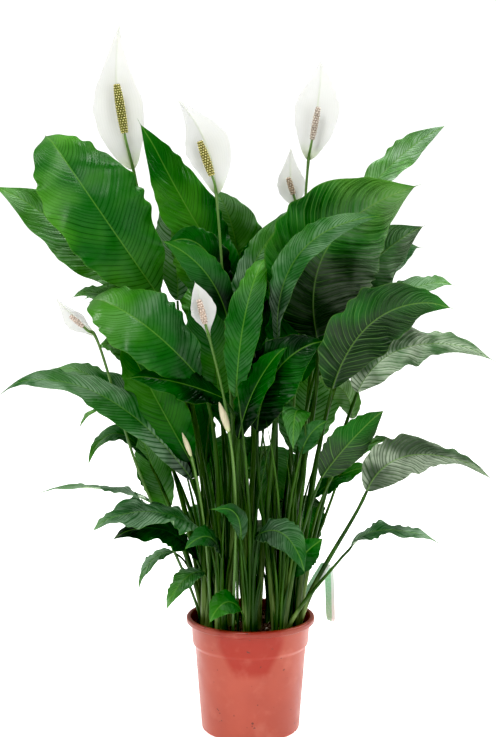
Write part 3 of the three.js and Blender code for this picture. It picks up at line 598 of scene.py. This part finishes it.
def blade_surface(rib, normals, blade, s, t):
    """Points of a blade's upper side. Points of equal s lie along one side vein, which runs from
    the rib out and on towards the tip; t is the share of the half width, from left to right."""
    far = np.abs(t)
    u = s + blade.sweep * far ** FORM.vein_bend * s * (1 - s)
    u = FORM.start + (FORM.end - FORM.start) * u
    tangent = rib.tangent(u)
    normal = turned_about(normals.at(u), tangent, np.radians(blade.twist) * (u - 0.5))
    side = np.cross(tangent, normal)
    turn, crimp = edge_waves(blade, u, t)
    share, half = half_widths(blade, u, far, crimp)
    away = far * half
    height = half * (blade.cup * far - blade.droop * far**2)
    height += share * (blade.wave * far**2 * np.sin(turn) + blade.ripple * far**4 * crimp)
    height += blade.sag * far * share * np.sin(FORM.sags * turn + 4 * far + 5 * blade.phase)
    height += blade.clasp * far**2 * np.exp(-u / FORM.clasp_length)
    height += relief(blade, s, t, share, away)
    height -= blade.groove * (1 - u).clip(0) * bell(away, 0, FORM.groove_radius)
    height -= blade.hook * smooth(*FORM.hook, u) ** 2
    point = rib.point(u) + side * spread(half * t) + normal * spread(height)
    return point, normal, u, away


def add_blade(build, rib, normals, blade, rows, slots, tone):
    """A thin closed blade, whose midrib stands out below."""
    s, t = np.meshgrid(np.linspace(0, 1, rows), ACROSS, indexing="ij")
    upper, normal, u, away = blade_surface(rib, normals, blade, s, t)
    rib_radius = blade.heel_radius * (1 - u).clip(0) ** 0.8
    depth = blade.thickness * (1 - 0.4 * np.abs(t) ** 6)
    depth = depth + blade.keel * rib_radius * bell(away, 0, 0.9 * rib_radius + FORM.keel_margin)
    # Grey bloom with painted sheen, stronger towards one edge of the blade.
    bloom = blade.bloom * (1 + blade.lean * t)
    add_sheet(build, upper, upper - normal * spread(depth), slots, slots[0], vein=vein_place(blade, s, t),
              across=t, rib=away, along=u, bloom=bloom, tone=tone)


# ---- Leaves ----

# What a blade has only where it is given.
PLAIN = dict(twist=0, clasp=0, hook=0, puff=0, bloom=0, lean=0, drawn=0, waist=0, sweep=0, phase=0)


def leaf_blade(length, width, cup, wave, number, heel_radius, bloom, quilt, twist, lean):
    features = dict(
        width=width, cup=cup, wave=wave, twist=twist, droop=0.1 + 0.5 * cup, waves=2.5,
        phase=0.37 * number, heel_radius=heel_radius, crimp=0.035, sweep=min(0.92, 3.4 * width / length),
        ripple=0.45 * wave, sag=0.03 * width, groove=0.6, relief=quilt * (0.2 + 0.0045 * width),
        veins=round(10 + length / 10), thickness=0.55, keel=1.3, hook=0.045 * length,
        puff=0.006 * quilt * width, bloom=bloom, lean=lean,
    )
    return Values(**PLAIN | features)


def add_stalk(build, stalk, normals, radii, tone):
    """A leaf stalk: sheathing and channelled at its foot, and a little swollen under the blade."""
    foot, middle, heel = radii
    u = np.linspace(0, 1, STALK.rows) ** STALK.crowding
    radius = np.where(u < 0.5, foot + (middle - foot) * 2 * u, middle + (heel - middle) * (2 * u - 1))
    radius = radius * (1 + STALK.swelling * bell(u, STALK.swelling_at, STALK.swelling_length))
    sheath = smooth(*STALK.sheath, u)[:, None]
    channel = bell(ROUND, np.pi / 2, 0.5)
    wings = bell(ROUND, np.pi / 2, 1) - channel
    shape = radius[:, None] * (1 + 0.15 * sheath - (0.12 + 0.3 * sheath) * channel + 0.4 * sheath * wings)
    drop = STALK.drop * radius * smooth(*STALK.dropping, u)
    add_tube(build, rings_along(stalk, normals, u, shape, drop), STALK_SIDE, flipped=True, along=u, tone=tone)


def add_leaf(build, centre, number, heel, crest, tip, width, face, cup, wave, tone,
             bloom=0, quilt=1, twist=0, lean=0):
    length = math.dist(heel, crest) + math.dist(crest, tip)
    vigour = math.sqrt(length / USUAL_LENGTH)
    radii = [vigour * radius for radius in STALK.radii]
    blade = leaf_blade(length, width, cup, wave, number, radii[-1], bloom, quilt, twist, lean)
    rib = midrib(heel, crest, tip)
    normals = Normals(rib, FRAME_STEPS // 2, face)
    add_blade(build, rib, normals, blade, ROWS_PER_VEIN * blade.veins + 1, (UPPER, UNDER), tone)
    away = unit(np.array(heel[:2], float) - centre)
    foot = [*(np.array(centre) + STALK.foot_ring * away), STALK.foot]
    stalk = stalk_curve(foot, heel, rib.tangent(0))
    end_normal = turned_about(normals.at(0), rib.tangent(0), -math.radians(twist) / 2)
    add_stalk(build, stalk, Normals(stalk, FRAME_STEPS, end_normal), radii, tone)


def add_stock(build, centre):
    """The short stock of a crown, wrapped in the bases of old leaves."""
    turn = circle(30)
    rings = []
    for radius, height in STOCK:
        folds = 0.07 * np.sin(5 * turn + 0.06 * height + centre[0]) + 0.03 * np.sin(13 * turn + centre[1])
        x = centre[0] + radius * (1 + folds) * np.cos(turn)
        y = centre[1] + radius * (1 + folds) * np.sin(turn)
        rings.append(np.stack([x, y, height + 1.2 * np.sin(3 * turn + centre[0])], -1))
    add_tube(build, np.array(rings), STALK_SIDE, tone=0.2)


def add_shoot(build, centre, height, rng):
    """A young leaf or a sheath, still rolled and drawn out to a point, beside the stock."""
    turn = rng.uniform(0, 2 * np.pi)
    out = np.array([math.cos(turn), math.sin(turn), 0])
    lean = SHOOT.lean * out + SHOOT.splay * np.array([*centre, 0]) / MIDDLE_TO_CROWN
    foot = np.array([*centre, STALK.foot]) + rng.uniform(*SHOOT.foot_ring) * out
    tip = foot + height * (lean + UP)
    middle = (foot + tip) / 2 - SHOOT.bow * height * out
    rib = midrib(foot, middle, tip)
    u = np.linspace(0, 1, SHOOT.rows)
    radius = rng.uniform(*SHOOT.radius) * (1 - 0.35 * u) * (1 - u**4).clip(0.03) ** 0.8
    seam = np.mod(ROUND / (2 * np.pi) + SHOOT.roll * u[:, None], 1)
    shape = radius[:, None] * (0.86 + 0.24 * seam * smooth(1, 0.9, seam))
    rings = rings_along(rib, Normals(rib, 0, out), u, shape)
    tone = rng.uniform(*SHOOT.tone)
    add_tube(build, rings, STALK_SIDE, flipped=True, along=0.25 + 0.75 * u, tone=tone)


def make_crowns(materials):
    rng = np.random.default_rng(SEED)
    for name, (centre, leaves) in CROWNS.items():
        build = Build()
        add_stock(build, centre)
        for number, row in enumerate(leaves):
            add_leaf(build, centre, number, *row)
        for height in SHOOT.heights:
            add_shoot(build, centre, height * rng.uniform(*SHOOT.height_spread), rng)
        build.piece(f"leaves_{name}", materials, f"crown_{name}", "leaf")


# ---- Flowers ----


def make_scape(name, curve, node, material):
    """A flower stalk, a little swollen in the soil and where the spathe springs from it."""
    build = Build()
    u = np.linspace(0, 1, SCAPE.rows)
    from_node = np.linalg.norm(curve.point(u) - node, axis=-1)
    swell = np.maximum(bell(from_node, 0, SCAPE.swelling_length), smooth(0.1, 0, u))
    radius = SCAPE.foot_radius + (SCAPE.end_radius - SCAPE.foot_radius) * u
    radius = radius * (SCAPE.slimness + (1 - SCAPE.slimness) * swell)
    shape = radius[:, None] * (1 + 0.03 * np.cos(5 * ROUND))
    rings = rings_along(curve, Normals(curve, FRAME_STEPS, FRONT), u, shape)
    add_tube(build, rings, flipped=True, along=u)
    build.piece(f"flower_scape_{name}", [material], f"scape_{name}", "scape")


def scape_curve(foot, half_way, node, spadix_base, spadix_top):
    """Upright out of the soil, through its points, and then along the axis of its spadix."""
    start = np.array([*foot, SCAPE.foot], float)
    clear_of_rim = start + 0.03 * (np.array(half_way) - start)
    clear_of_rim[2] = SCAPE.foot + SCAPE.upright
    axis = unit(np.subtract(spadix_top, spadix_base))
    neck = np.array(spadix_base) - SCAPE.neck * axis
    return Spline([start, clear_of_rim, half_way, node, neck, spadix_base])


def make_spathe(name, node, crest, tip, width, face, cup, waist, drawn, painted_lightness, material):
    """The white leaf behind a spadix, held a gap clear of the scape's node."""
    inner = unit(face)
    base = np.array(node) - inner * (SCAPE.node_radius + GAP)
    rib = midrib(base, crest, tip)
    features = dict(
        width=width, cup=cup, wave=2, droop=0.1, waves=1.5, ripple=0.35, sag=0.6, crimp=0.02,
        heel_radius=SCAPE.end_radius, groove=0.3, relief=0.22, veins=7, thickness=0.5, keel=0.5, clasp=5,
        waist=waist, drawn=drawn,
    )
    blade = Values(**PLAIN | features)
    build = Build()
    add_blade(build, rib, Normals(rib, FRAME_STEPS // 2, inner), blade, SPATHE_ROWS, (0, 0), painted_lightness)
    build.piece(f"flower_spathe_{name}", [material], f"spathe_{name}", "spathe")


def add_dome(build, centre, outward, along, radius, height, slot):
    """A small round-topped bump with six sides."""
    shares, heights = np.array(DOME).T
    middle = centre + height * heights[:, None, None] * outward
    turn = circle(6) + math.pi / 6
    rings = rings_about(middle, along, np.cross(outward, along), radius * shares[:, None], turn)
    add_tube(build, rings, slot, flipped=True)


def rod_radius(radius, share):
    """The radius of a spadix between its florets: blunt at both ends."""
    return 0.9 * radius * np.sin(np.pi * (0.12 + 0.8 * share)) ** 0.4


def make_spadix(name, base, top, radius, materials):
    """A blunt rod covered with florets in staggered rows, each with a paler tip."""
    base, top = np.array(base, float), np.array(top, float)
    axis = unit(top - base)
    normal = square_to(FRONT, axis)
    side = np.cross(axis, normal)
    length = np.linalg.norm(top - base)
    build = Build()
    share = np.linspace(0, 1, 24)
    middle = base + axis * spread(GAP + share * length)
    rings = rings_about(middle[:, None], side, normal, rod_radius(radius, share)[:, None], circle(20))
    add_tube(build, rings, flipped=True)
    around = max(6, round(2 * math.pi * radius / FLORET.width))
    rows = round((length + GAP) / FLORET.height)
    floret = math.pi * radius / around * FLORET.fill
    for row in range(rows):
        share = (row + 0.5) / rows
        for k in range(around):
            angle = 2 * math.pi * (k + 0.5 * (row % 2) + FLORET.winding * row) / around
            out = side * math.cos(angle) + normal * math.sin(angle)
            outward = unit(out + axis * FLORET.end_lean * (share - 0.5) ** 3)
            along = square_to(axis, outward)
            centre = base + axis * (GAP + share * length) + out * rod_radius(radius, share)
            add_dome(build, centre, outward, along, floret, 0.45 * floret, 1)
            add_dome(build, centre + 0.38 * floret * outward, outward, along, 0.5 * floret, 0.34 * floret, 2)
    build.piece(f"flower_spadix_{name}", materials, f"spadix_{name}", "spadix")


def make_bud(name, base, tip, radius, material):
    """A spathe still rolled round its spadix, with the free edge winding up it."""
    base, tip = np.array(base, float), np.array(tip, float)
    axis = unit(tip - base)
    normal = square_to(FRONT, axis)
    u, turn = np.linspace(0, 1, 60), circle(40)
    swell = np.maximum(0.7, radius * outline(np.minimum(0.97, 0.9 * u + 0.06)))
    roll = np.mod(turn / (2 * np.pi) + 0.9 * u[:, None] + 0.35, 1)
    shape = swell[:, None] * (0.93 + 0.1 * roll * smooth(1, 0.93, roll))
    middle = base + axis * spread(GAP + u * (np.linalg.norm(tip - base) - GAP))
    build = Build()
    rings = rings_about(middle[:, None], np.cross(axis, normal), normal, shape, turn)
    add_tube(build, rings, flipped=True, along=u, rib=10 * roll)
    build.piece(f"flower_bud_{name}", [material], f"bud_{name}", "spathe")


def make_flowers():
    scape, spathe, bud = scape_look(), spathe_look(), bud_look()
    for name, row in FLOWERS.items():
        foot, half_way, node, crest, tip, width, face, cup, base, top, radius, looks, colours = row
        make_scape(name, scape_curve(foot, half_way, node, base, top), node, scape)
        make_spathe(name, node, crest, tip, width, face, cup, *looks, spathe)
        parts = zip(("axis", "florets", "tips"), colours)
        looks = [floret_look(f"{part}_{name}", colour) for part, colour in parts]
        make_spadix(name, base, top, radius, looks)
    for name, (foot, base, tip, radius) in BUDS.items():
        rise = unit(np.subtract(tip, base))
        make_scape(f"bud_{name}", stalk_curve([*foot, SCAPE.foot], base, rise), base, scape)
        make_bud(name, base, tip, radius, bud)


# ---- Pot, soil and label ----


def rounded(profile, radius, steps=4):
    """A profile whose inner corners are cut by small curves."""
    profile = [np.array(p, float) for p in profile]
    made = [profile[0]]
    for before, corner, after in zip(profile, profile[1:], profile[2:]):
        reach = [min(radius, 0.45 * np.linalg.norm(p - corner)) for p in (before, after)]
        start = corner + unit(before - corner) * reach[0]
        end = corner + unit(after - corner) * reach[1]
        for w in np.linspace(0, 1, steps + 1):
            made.append((1 - w) ** 2 * start + 2 * w * (1 - w) * corner + w**2 * end)
    return np.array([*made, profile[-1]])


def pot_profile():
    """Radius and height along the pot's wall: under its floor, up, over its lip and down inside."""
    wall, base, lip = POT.wall, POT.base_radius, POT.lip_radius
    outside = [
        (0, POT.floor_bottom), (56, POT.floor_bottom), (60, 0), (base - 1, 0), (POT.corner_radius - 0.4, 2.5),
        (POT.corner_radius, POT.corner_height), (POT.step_radius, POT.step_height),
        (POT.collar_low_radius, POT.collar_height), (POT.collar_high_radius, POT.lip_under_height),
        (lip - 1.5, POT.lip_drop_height), (lip, POT.lip_drop_height + 1.5), (lip, POT.height - 2.2),
        (lip - 2, POT.height),
    ]
    inside = [
        (POT.mouth_radius, POT.height), (POT.collar_high_radius - wall, POT.lip_under_height),
        (POT.collar_low_radius - wall, POT.collar_height + 1), (POT.step_radius - wall, POT.step_height + 1),
        (POT.corner_radius - wall, POT.corner_height), (base - 4, POT.floor_top), (0, POT.floor_top),
    ]
    return rounded(outside + inside, POT.rounding)


def drain_slots():
    """Solids with arched tops, as wide and high as the slots that they cut."""
    build = Build()
    arch = np.linspace(0, math.pi, 9)
    half, height = DRAIN.width / 2, DRAIN.height
    shape = np.array([(half, -height), *zip(half * np.cos(arch), height * np.sin(arch)), (-half, -height)])
    for turn in 2 * np.pi * (np.arange(DRAIN.count) + 0.5) / DRAIN.count:
        out = np.array([math.cos(turn), math.sin(turn), 0])
        side = np.array([-math.sin(turn), math.cos(turn), 0])
        face = out * (POT.base_radius + 1) + shape[:, :1] * side + shape[:, 1:] * UP
        add_tube(build, np.array([face + out * reach * DRAIN.depth / 2 for reach in (-1, 1)]))
    return build


def cut(mesh, cutters):
    """The mesh less the cutters' solids."""
    body = bpy.data.objects.new("body", mesh)
    tool = bpy.data.objects.new("tool", cutters)
    for made in (body, tool):
        bpy.context.scene.collection.objects.link(made)
    boolean = body.modifiers.new("cut", "BOOLEAN")
    boolean.operation, boolean.object, boolean.solver = "DIFFERENCE", tool, "EXACT"
    bpy.context.view_layer.update()
    evaluated = body.evaluated_get(bpy.context.evaluated_depsgraph_get())
    result = bpy.data.meshes.new_from_object(evaluated)
    for made in (body, tool):
        bpy.data.objects.remove(made)
    return result


def make_pot(material):
    build = Build()
    add_tube(build, lathe(pot_profile()[1:-1], POT.sides))
    mesh = cut(build.mesh("pot_wall", [material]), drain_slots().mesh("slots", []))
    mesh.name = "nursery_pot"
    mesh.set_sharp_from_angle(angle=math.radians(POT.sharp_angle))
    place_piece("nursery_pot", mesh, "pot")


def soil_height(x, y):
    """The crumbly top of the soil, mounded towards the middle."""
    height = SOIL.top + SOIL.mound * (1 - (math.hypot(x, y) / POT.collar_low_radius) ** 2)
    for size, (layer, scale) in zip(SOIL.lumps, ((0, 0.06), (9, 0.22), (3, 0.6))):
        height += size * noise.noise(Vector((x, y, layer)) * scale)
    return height


def add_crumb(build, centre, radius, rng):
    """A small uneven lump of soil, bark or perlite."""
    turn = circle(7)
    stretch = rng.uniform(0.6, 1.4, 3)
    rings = []
    for rise in (-0.8, -0.2, 0.4, 0.85):
        wide = math.sqrt(1 - rise**2) * rng.uniform(0.8, 1.15, len(turn))
        rings.append(np.stack([wide * np.cos(turn), wide * np.sin(turn), np.full(len(turn), rise)], -1))
    rings = np.array(rings) * stretch * radius + centre
    pale = rng.random() < SOIL.pale_share
    add_tube(build, rings, tone=1.0 if pale else rng.uniform(0, 0.6))


def make_soil(material):
    rng = np.random.default_rng(SEED)
    clear = POT.wall + GAP
    step, collar = POT.step_radius - clear, POT.collar_low_radius - clear
    build = Build()
    profile = [
        (POT.base_radius - 5.5, 5.1), (POT.corner_radius - clear - 1, 10), (step, POT.step_height),
        (step, POT.step_height + 2), (collar, POT.collar_height + 4),
    ]
    circles = SOIL.circles
    top = lathe([((collar + 0.9) * (1 - k / circles), 0) for k in range(circles)], SOIL.sides)
    for point in top.reshape(-1, 3):
        point[2] = soil_height(point[0], point[1])
    add_tube(build, np.concatenate([lathe(profile, SOIL.sides), top]), tone=0.35)
    for _ in range(SOIL.crumbs):
        far, turn = SOIL.crumb_reach * math.sqrt(rng.random()), 2 * math.pi * rng.random()
        x, y = far * math.cos(turn), far * math.sin(turn)
        add_crumb(build, (x, y, soil_height(x, y)), rng.uniform(0.8, 3.2), rng)
    build.piece("potting_soil", [material], "soil", "soil")


def make_label(materials):
    """A card strip along its path, curled a little across and with rounded corners at its end."""
    lean = np.array([*LABEL.lean, 0], float)
    across = np.array([-lean[1], lean[0], 0])
    foot = np.array([*LABEL.foot, 0], float)
    route = Spline(LABEL.path)
    rows = np.linspace(0, 1, LABEL.rows)
    flat, way = route.point(rows), route.tangent(rows)
    shape = np.sign(ACROSS) * np.abs(ACROSS) ** 0.8
    corner = np.clip(1 - (1 - rows) / LABEL.corner_share, 0, 1)
    half = LABEL.width / 2 - LABEL.corner_radius * (1 - np.sqrt(1 - corner**2))
    curl = LABEL.curl * np.sin(rows * 7)[:, None] * shape**2
    line = foot + lean * flat[:, :1] + UP * flat[:, 1:]
    normal = UP * way[:, :1] - lean * way[:, 1:]
    outer = line[:, None] + across * spread(half[:, None] * shape) + normal[:, None] * spread(curl)
    inner = outer - normal[:, None] * LABEL.thickness
    build = Build()
    add_sheet(build, outer, inner, (0, 1), 1, across=np.broadcast_to(shape, (len(rows), len(shape))))
    build.piece("plant_label", materials, "label", "label")


# ---- Materials ----


def srgb(red, green, blue):
    """A colour from 0 to 255 in sRGB, as linear light."""
    shares = np.array([red, green, blue]) / 255
    linear = np.where(shares <= 0.04045, shares / 12.92, ((shares + 0.055) / 1.055) ** 2.4)
    return (*linear.tolist(), 1.0)


def add_node(tree, kind, key, inputs, **settings):
    """Makes a node, feeds it with values or with outputs of other nodes, and returns its output."""
    made = tree.nodes.new(kind)
    for name, value in settings.items():
        setattr(made, name, value)
    for socket, value in inputs.items():
        feed(tree, made.inputs[socket], value)
    return made.outputs[key]


def feed(tree, socket, value):
    if isinstance(value, bpy.types.NodeSocket):
        tree.links.new(value, socket)
    else:
        socket.default_value = value


class Look:
    """A material. The body is its colour so far, and each coat lays another colour over it where a
    value runs from low to high, with the share of the coat running from start to end. A value is
    the output of a node, or the name of a value that the mesh holds at each point."""

    def __init__(self, name, base):
        self.material = bpy.data.materials.new(name)
        self.material.use_nodes = True
        self.tree = self.material.node_tree
        self.place = self.output("ShaderNodeTexCoord", "Object", {})
        self.body = srgb(*base)

    def output(self, kind, key, inputs, **settings):
        return add_node(self.tree, kind, key, inputs, **settings)

    def value(self, name):
        return self.output("ShaderNodeAttribute", "Fac", {}, attribute_name=name)

    def math(self, operation, a, b=0.0, clamp=False):
        return self.output("ShaderNodeMath", 0, {0: a, 1: b}, operation=operation, use_clamp=clamp)

    def times(self, a, b):
        return self.math("MULTIPLY", a, b)

    def size(self, a):
        return self.math("ABSOLUTE", a)

    def wave(self, value, turns):
        """From 0 to 1 and back, once for each half turn."""
        return self.size(self.math("SINE", self.times(value, turns * math.pi)))

    def mix(self, share, a, b):
        return self.output("ShaderNodeMix", 2, {0: share, 6: a, 7: b}, data_type="RGBA")

    def lay(self, share, colour):
        self.body = self.mix(share, self.body, srgb(*colour))

    def coat(self, colour, value, low, high, start=0, end=1):
        self.lay(self.between(value, low, high, start, end), colour)

    def between(self, value, low, high, start=0, end=1):
        value = self.value(value) if isinstance(value, str) else value
        inputs = {"Value": value, "From Min": low, "From Max": high, "To Min": start, "To Max": end}
        return self.output("ShaderNodeMapRange", 0, inputs, interpolation_type="SMOOTHSTEP")

    def noise(self, scale, detail=3.0, stretch=(1, 1, 1)):
        where = self.output("ShaderNodeMapping", 0, {"Vector": self.place, "Scale": stretch})
        inputs = {"Vector": where, "Scale": scale, "Detail": detail}
        return self.output("ShaderNodeTexNoise", 0, inputs)

    def mottle(self, noise, low, high):
        """Uneven values from low to high, such as for the roughness."""
        return self.between(noise, 0.3, 0.7, low, high)

    def finish(self, roughness, height, depth, strength, **inputs):
        """Sets the shader, with the bumps of a height map that is depth metres deep."""
        bump = self.output("ShaderNodeBump", 0, {"Height": height, "Distance": depth, "Strength": strength})
        return self.set(Roughness=roughness, Normal=bump, **inputs)

    def set(self, **inputs):
        shader = self.tree.nodes["Principled BSDF"]
        for key, value in {"Base_Color": self.body, **inputs}.items():
            feed(self.tree, shader.inputs[key.replace("_", " ")], value)
        return self.material


# The two sides of a leaf: its dark, rich and light greens, its side veins and how much they show,
# its midrib, its grey bloom with painted sheen on the ridge crests, and its roughness.
LEAF_SIDES = {
    "leaf_upper": [(0, 26, 2), (6, 84, 2), (70, 132, 32), (0, 28, 3), 0.55,
                   (96, 142, 54), (160, 184, 160), 0.34],
    "leaf_under": [(4, 36, 4), (14, 90, 6), (92, 144, 54), (98, 136, 74), 0.48,
                   (104, 140, 66), (194, 208, 184), 0.42],
}


def leaf_look(name, dark, rich, light, vein_colour, vein_share, rib, bloom, roughness):
    look = Look(name, dark)
    patches = look.between(look.noise(6), 0.33, 0.67, -0.28, 0.28)
    # Painted shade: each leaf darker towards its heel, where the crowding leaves shade it.
    painted_heel_shade = look.between("along", 0, 1, -0.18, 0.12)
    tone = look.math("ADD", look.math("ADD", patches, painted_heel_shade), look.value("tone"), clamp=True)
    look.coat(rich, tone, 0, 0.45)
    look.coat(light, tone, 0.4, 1)
    ridge = look.wave(look.value("vein"), 1)
    shown = look.between(look.noise(13), 0.38, 0.62, 0.1, vein_share)
    look.lay(look.times(look.between(ridge, 0.0, 0.5, 1, 0), shown), vein_colour)
    fine = look.wave(look.value("vein"), 3)
    look.coat(vein_colour, fine, 0.0, 0.5, 0.15, 0)
    # Grey bloom with painted sheen: a pale colour laid on the crests of the ridges between the veins,
    # standing in for glancing highlights.
    crest = look.times(look.between(ridge, 0.1, 0.8, 0.22, 1), look.between(fine, 0, 0.6, 0.6, 1.1))
    crest = look.times(crest, look.between(look.noise(18), 0.35, 0.62, 0.15, 1))
    look.lay(look.times(look.value("bloom"), crest), bloom)
    look.coat(rib, "rib", 0.5, 1.5, 0.5, 0)
    look.coat(rib, look.size(look.value("across")), 0.96, 1.0, 0, 0.3)
    rough = look.mottle(look.noise(24), roughness - 0.08, roughness + 0.1)
    height = look.math("ADD", look.times(fine, 0.6), look.noise(600, 2))
    return look.finish(rough, height, 0.00015, 0.6, Specular_IOR_Level=0.16)


def stalk_look():
    look = Look("leaf_stalk", (150, 172, 104))
    look.coat((46, 82, 22), "along", 0, 0.45)
    look.coat((84, 122, 40), "tone", 0, 1, 0, 0.5)
    look.coat((16, 44, 8), look.noise(40, 1, (1, 1, 0.08)), 0.45, 0.62, 0, 0.6)
    streak = look.noise(240, 3, (1, 1, 0.05))
    look.coat((14, 40, 6), streak, 0.4, 0.7, 0, 0.6)
    return look.finish(look.mottle(look.noise(50), 0.36, 0.5), streak, 0.0003, 0.5, Specular_IOR_Level=0.2)


def scape_look():
    look = Look("flower_stalk", (62, 100, 34))
    look.coat((96, 130, 60), "along", 0, 0.9)
    streak = look.noise(260, 3, (1, 1, 0.05))
    look.coat((52, 90, 30), streak, 0.4, 0.7, 0, 0.4)
    return look.finish(look.mottle(streak, 0.34, 0.5), streak, 0.0003, 0.4)


def spathe_look():
    look = Look("white_spathe", (203, 204, 201))
    veins = look.wave(look.size(look.value("across")), 9)
    look.coat((180, 186, 176), veins, 0, 0.5, 0.25, 0)
    look.coat((200, 203, 194), look.noise(22), 0.35, 0.7, 0, 0.3)
    # Painted light: the tone brightens some spathes towards a paler white.
    look.coat((232, 232, 230), "tone", 0, 1, 0, 0.8)
    look.coat((190, 202, 168), "along", 0.0, 0.16, 0.8, 0)
    fading = look.between("along", 0.1, 0.95, 0.45, 0.1)
    look.lay(look.times(look.between("rib", 0.5, 2.6, 1, 0), fading), (168, 186, 132))
    grain = look.noise(300, 2)
    return look.finish(look.mottle(grain, 0.42, 0.54), grain, 0.00012, 0.35, Subsurface_Weight=0.25,
                       Subsurface_Radius=(1.0, 1.0, 0.8), Subsurface_Scale=0.004)


def bud_look():
    look = Look("rolled_spathe", (196, 186, 160))
    streak = look.noise(180, 3, (1, 1, 0.06))
    look.coat((172, 170, 136), streak, 0.35, 0.7)
    look.coat((176, 192, 132), "along", 0, 0.3, 0.7, 0)
    look.coat((196, 190, 160), "rib", 9.0, 10.0, 0, 0.6)
    return look.finish(look.mottle(streak, 0.4, 0.55), streak, 0.0003, 0.4)


def floret_look(name, colour):
    look = Look(name, [round(0.72 * c) for c in colour])
    grain = look.noise(500, 3)
    look.coat(colour, grain, 0.35, 0.65)
    return look.finish(look.mottle(grain, 0.55, 0.75), grain, 0.0004, 0.6)


def pot_look():
    """Terracotta-coloured plastic: a darker patch in front that is a painted reflection of the dark plant,
    painted shade on the lip, specks and dust. The places on it are in metres."""
    look = Look("terracotta_plastic", (169, 77, 56))
    look.coat((159, 69, 50), look.noise(11, 4), 0.3, 0.7)
    across, depth, height = (look.output("ShaderNodeSeparateXYZ", axis, {0: look.place}) for axis in "XYZ")
    # Painted reflection: a darker, richer red patch in front under the collar, where the dark plant would be
    # mirrored.
    reach = look.math("SUBTRACT", look.between(height, 0.105, 0.172, 0.027, 0.052), look.size(across))
    painted_dark_reflection = look.times(look.between(reach, -0.007, 0.007), look.between(height, 0.104, 0.122))
    look.lay(look.times(painted_dark_reflection, look.between(depth, 0.0, -0.05)), (152, 36, 4))
    # Painted shade: the lip darker from just under it up to its top.
    look.coat((118, 50, 36), height, 0.174, 0.181, 0, 0.45)
    look.coat((74, 40, 30), look.noise(140, 1), 0.73, 0.78, 0, 0.75)
    look.coat((200, 132, 112), look.noise(34, 5), 0.5, 0.8, 0, 0.22)
    grain, rings = look.noise(900, 2), look.noise(60, 2, (0.02, 0.02, 4))
    uneven = look.math("ADD", look.times(grain, 0.4), rings)
    return look.finish(look.mottle(look.noise(40, 4), 0.3, 0.42), uneven, 0.00016, 0.5)


def soil_look():
    look = Look("potting_mix", (28, 20, 15))
    crumb = look.noise(420, 5)
    look.coat((76, 56, 42), crumb, 0.3, 0.7)
    look.coat((96, 72, 52), "tone", 0, 0.6, 0, 0.5)
    look.coat((206, 200, 188), "tone", 0.85, 1.0)
    return look.finish(look.mottle(crumb, 0.8, 0.98), crumb, 0.0012, 0.9)


def label_look(name, colour, border):
    """Card printed in one colour, with a blank strip of the other along one edge."""
    look = Look(name, colour)
    fibre = look.noise(300, 3)
    look.coat(border, fibre, 0.35, 0.65, 0, 0.3)
    look.coat(border, "across", -0.36, -0.3, 1, 0)
    return look.finish(look.mottle(fibre, 0.32, 0.42), fibre, 0.00008, 0.3)


def floor_look():
    look = Look("pale_floor", (255, 255, 255))
    look.body = look.mix(look.noise(2), (0.92, 0.92, 0.92, 1), (0.95, 0.95, 0.95, 1))
    return look.set(Roughness=0.7, Emission_Color=(1, 1, 1, 1), Emission_Strength=0.7)


# ---- Camera, light and floor ----


def link_at(name, data, place):
    made = bpy.data.objects.new(name, data)
    made.location = place
    bpy.context.scene.collection.objects.link(made)
    return made


def make_camera():
    data = bpy.data.cameras.new("camera")
    data.sensor_width = SENSOR_WIDTH
    data.lens = FOCAL_PIXELS * SENSOR_WIDTH / IMAGE_LONG_SIDE
    camera = link_at("camera", data, CAMERA_PLACE)
    camera.rotation_euler = (math.radians(90 - CAMERA_PITCH), 0, 0)
    bpy.context.scene.camera = camera


def add_lamp(name, place, size, power):
    data = bpy.data.lights.new(name, "AREA")
    data.shape, data.size, data.energy = "DISK", size, power
    lamp = link_at(name, data, place)
    lamp.rotation_euler = (Vector(LAMPS_AIM) - Vector(place)).to_track_quat("-Z", "Y").to_euler()


def make_sky():
    """Light from all round that is stronger from above, and a plain white backdrop for the camera."""
    world = bpy.data.worlds.new("studio")
    world.use_nodes = True
    tree = world.node_tree
    where = add_node(tree, "ShaderNodeTexCoord", "Generated", {})
    height = add_node(tree, "ShaderNodeSeparateXYZ", "Z", {0: where})
    light = add_node(tree, "ShaderNodeMapRange", 0, {"Value": height} | ROOM_LIGHT)
    seen = add_node(tree, "ShaderNodeLightPath", "Is Camera Ray", {})
    strength = add_node(tree, "ShaderNodeMath", 0, {0: light, 1: seen}, operation="MAXIMUM")
    background = tree.nodes["Background"]
    feed(tree, background.inputs["Color"], (1, 1, 1, 1))
    feed(tree, background.inputs["Strength"], strength)
    bpy.context.scene.world = world


def make_studio():
    view = bpy.context.scene.view_settings
    view.view_transform = "Standard"
    view.look = "Medium High Contrast"
    view.use_curve_mapping = True
    view.curve_mapping.black_level = (BLACK_LEVEL, BLACK_LEVEL, BLACK_LEVEL)
    make_sky()
    for name, (place, size, power) in LAMPS.items():
        add_lamp(name, place, size, power)
    build = Build()
    rings = lathe([(0.001, 0), (FLOOR.radius, 0)], FLOOR.sides)
    build.add(rings, grid_faces(2, FLOOR.sides, wraps=True, flipped=True))
    floor = link_at("floor", build.mesh("floor", [floor_look()]), (0, 0, 0))


make_camera()
make_studio()
make_pot(pot_look())
make_soil(soil_look())
make_label([label_look(name, *colours) for name, colours in LABEL_COLOURS.items()])
make_crowns([leaf_look(name, *side) for name, side in LEAF_SIDES.items()] + [stalk_look()])
make_flowers()

bpy.context.view_layer.update()
